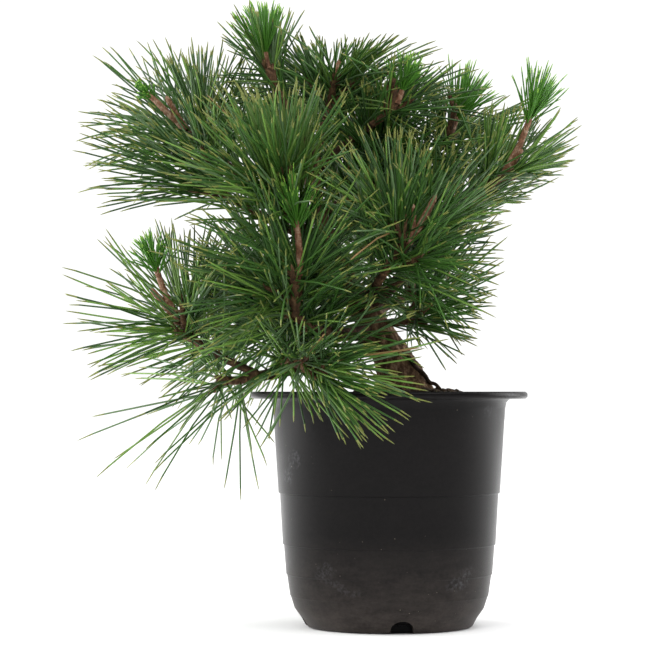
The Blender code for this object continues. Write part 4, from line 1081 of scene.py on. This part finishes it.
soilPlan = {
    "edgeHeight": 0.1450, "heapRadius": 0.0270, "heapFall": 0.0280, "radius": 0.0733, "segments": 96,
    "halvings": 4, "lumps": 120, "lumpHeight": 0.0009, "skirt": 0.70,
    "grains": 2600, "grainSpread": 0.985, "grainSize": (0.0006, 0.0016), "grainRarity": 2.5, "grainSink": 0.2,
    "grainJitter": (0.7, 1.25), "grainStretch": ((0.7, 1.4), (0.7, 1.4), (0.5, 0.9)), "seed": 77,
}


def soilHeight(x, y):
    away = math.hypot(x - trunkFoot.x, y - trunkFoot.y)
    fall = min(max((away - soilPlan["heapRadius"]) / soilPlan["heapFall"], 0.0), 1.0)
    fall = fall * fall * (3.0 - 2.0 * fall)
    top = groundHeight - gap
    return top + (soilPlan["edgeHeight"] - top) * fall


def makeSoil():
    plan = soilPlan
    shape = bmesh.new()
    bmesh.ops.create_circle(
        shape, cap_ends=True, cap_tris=True, segments=plan["segments"], radius=plan["radius"])
    for halving in range(plan["halvings"]):
        bmesh.ops.subdivide_edges(shape, edges=shape.edges, cuts=1, use_grid_fill=True)
    edge = [e for e in shape.edges if e.is_boundary]
    for vert in shape.verts:
        lump = noise.fractal(Vector((vert.co.x, vert.co.y, 0.0)) * plan["lumps"], 1.0, 2.0, 4)
        vert.co.z = soilHeight(vert.co.x, vert.co.y) + plan["lumpHeight"] * lump
    grown = bmesh.ops.extrude_edge_only(shape, edges=edge)["geom"]
    for vert in [item for item in grown if isinstance(item, bmesh.types.BMVert)]:
        vert.co.x *= plan["skirt"]
        vert.co.y *= plan["skirt"]
        vert.co.z = potPlan["floor"] + gap
    bmesh.ops.edgeloop_fill(shape, edges=[e for e in shape.edges if e.is_boundary])
    bmesh.ops.recalc_face_normals(shape, faces=shape.faces)
    return pieceFrom(settle(shape), "soilBed", [soilFinish()], ("soil",))


def makeGrains():
    plan = soilPlan
    rng = random.Random(plan["seed"])
    shape = bmesh.new()
    bmesh.ops.create_icosphere(shape, subdivisions=1, radius=1.0)
    one = meshFrom(shape, "grain")
    ball = np.array([vert.co for vert in one.vertices])
    smallest, larger = plan["grainSize"]
    places = []
    for k in range(plan["grains"]):
        away = plan["radius"] * plan["grainSpread"] * math.sqrt(rng.random())
        angle = rng.uniform(0.0, math.tau)
        x, y = away * math.cos(angle), away * math.sin(angle)
        size = smallest + larger * rng.random() ** plan["grainRarity"]
        jitter = np.array([[rng.uniform(*plan["grainJitter"]) for axis in range(3)] for vert in ball])
        stretch = np.array([rng.uniform(*span) for span in plan["grainStretch"]])
        centre = np.array([x, y, soilHeight(x, y) + size * plan["grainSink"]])
        places.append(ball * jitter * stretch * size + centre)
    mesh = copiesOf(one, "soilGrains", np.array(places))
    return pieceFrom(mesh, "soilGrains", [grainFinish()], (), 40.0)


studio = {
    "cameraPlace": (-0.0417, -1.61, 0.152), "cameraAim": (-0.0417, 0.0, 0.1954), "lens": 136.8,
    "sensor": 36.0, "front": 0.21, "behind": 0.95, "backdrop": 1.1,
    "sun": 2.9, "sunSize": 70.0, "sunTurn": (24.0, 0.0, 0.0),
    "lightAim": (0.0, 0.0, 0.2), "floorSize": 12.0, "floorDrop": 0.0005,
    "lights": {
        "leftBox": ((-1.2, 0.35, 0.5), 0.9, 20.0),
        "rightBox": ((1.2, 0.45, 0.5), 0.9, 11.0),
    },
}


def pointAt(thing, place, target):
    thing.location = place
    thing.rotation_euler = (Vector(target) - thing.location).to_track_quat("-Z", "Y").to_euler()


def makeCamera():
    cameraData = bpy.data.cameras.new("photoCamera")
    cameraData.lens = studio["lens"]
    cameraData.sensor_width = studio["sensor"]
    camera = added("photoCamera", cameraData)
    pointAt(camera, studio["cameraPlace"], studio["cameraAim"])
    bpy.context.scene.camera = camera


def makeLights():
    for name, (place, size, power) in studio["lights"].items():
        lightData = bpy.data.lights.new(name, "AREA")
        lightData.size = size
        lightData.energy = power
        pointAt(added(name, lightData), place, studio["lightAim"])
    sunData = bpy.data.lights.new("roofLight", "SUN")
    sunData.energy = studio["sun"]
    sunData.angle = math.radians(studio["sunSize"])
    sun = added("roofLight", sunData)
    sun.rotation_euler = [math.radians(turn) for turn in studio["sunTurn"]]


# White all round, dimmer from the front; the paper behind shows brighter than the light it gives
def makeWorld():
    world = bpy.data.worlds.new("studioWorld")
    world.use_nodes = True
    sky = Nodes(world.node_tree)
    heading = sky.node("ShaderNodeSeparateXYZ", None, {0: sky.node("ShaderNodeTexCoord")}, 1)
    fill = sky.node("ShaderNodeMapRange", None, {
        0: heading, 1: -1.0, 2: 1.0, 3: studio["front"], 4: studio["behind"]})
    seen = sky.node("ShaderNodeLightPath")
    strength = seen * studio["backdrop"] + (1 - seen) * fill
    paper = sky.tree.nodes["Background"]
    paper.inputs["Color"].default_value = (1.0, 1.0, 1.0, 1.0)
    sky.tree.links.new(strength.socket, paper.inputs["Strength"])
    bpy.context.scene.world = world


def makeStudio():
    bpy.context.scene.view_settings.view_transform = "Standard"
    makeCamera()
    makeLights()
    makeWorld()
    shape = bmesh.new()
    bmesh.ops.create_grid(shape, x_segments=8, y_segments=8, size=studio["floorSize"])
    mesh = meshFrom(shape, "studioFloor")
    mesh.materials.append(floorFinish())
    floor = added("studioFloor", mesh)
    floor.location.z = -studio["floorDrop"]


def main():
    makeStudio()
    print("studio done")
    limbs = growLimbs()
    shootsOf = growShoots(limbs)
    print("shoots", sum(len(shoots) for shoots in shootsOf.values()))
    makeTrunk(limbs["trunk"])
    makeBoughs(limbs)
    makeTwigs(shootsOf)
    makeRootStrand()
    print("wood done")
    makeNeedles(shootsOf)
    makePot()
    makeSoil()
    makeGrains()
    print("pot and soil done")
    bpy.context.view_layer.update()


main()
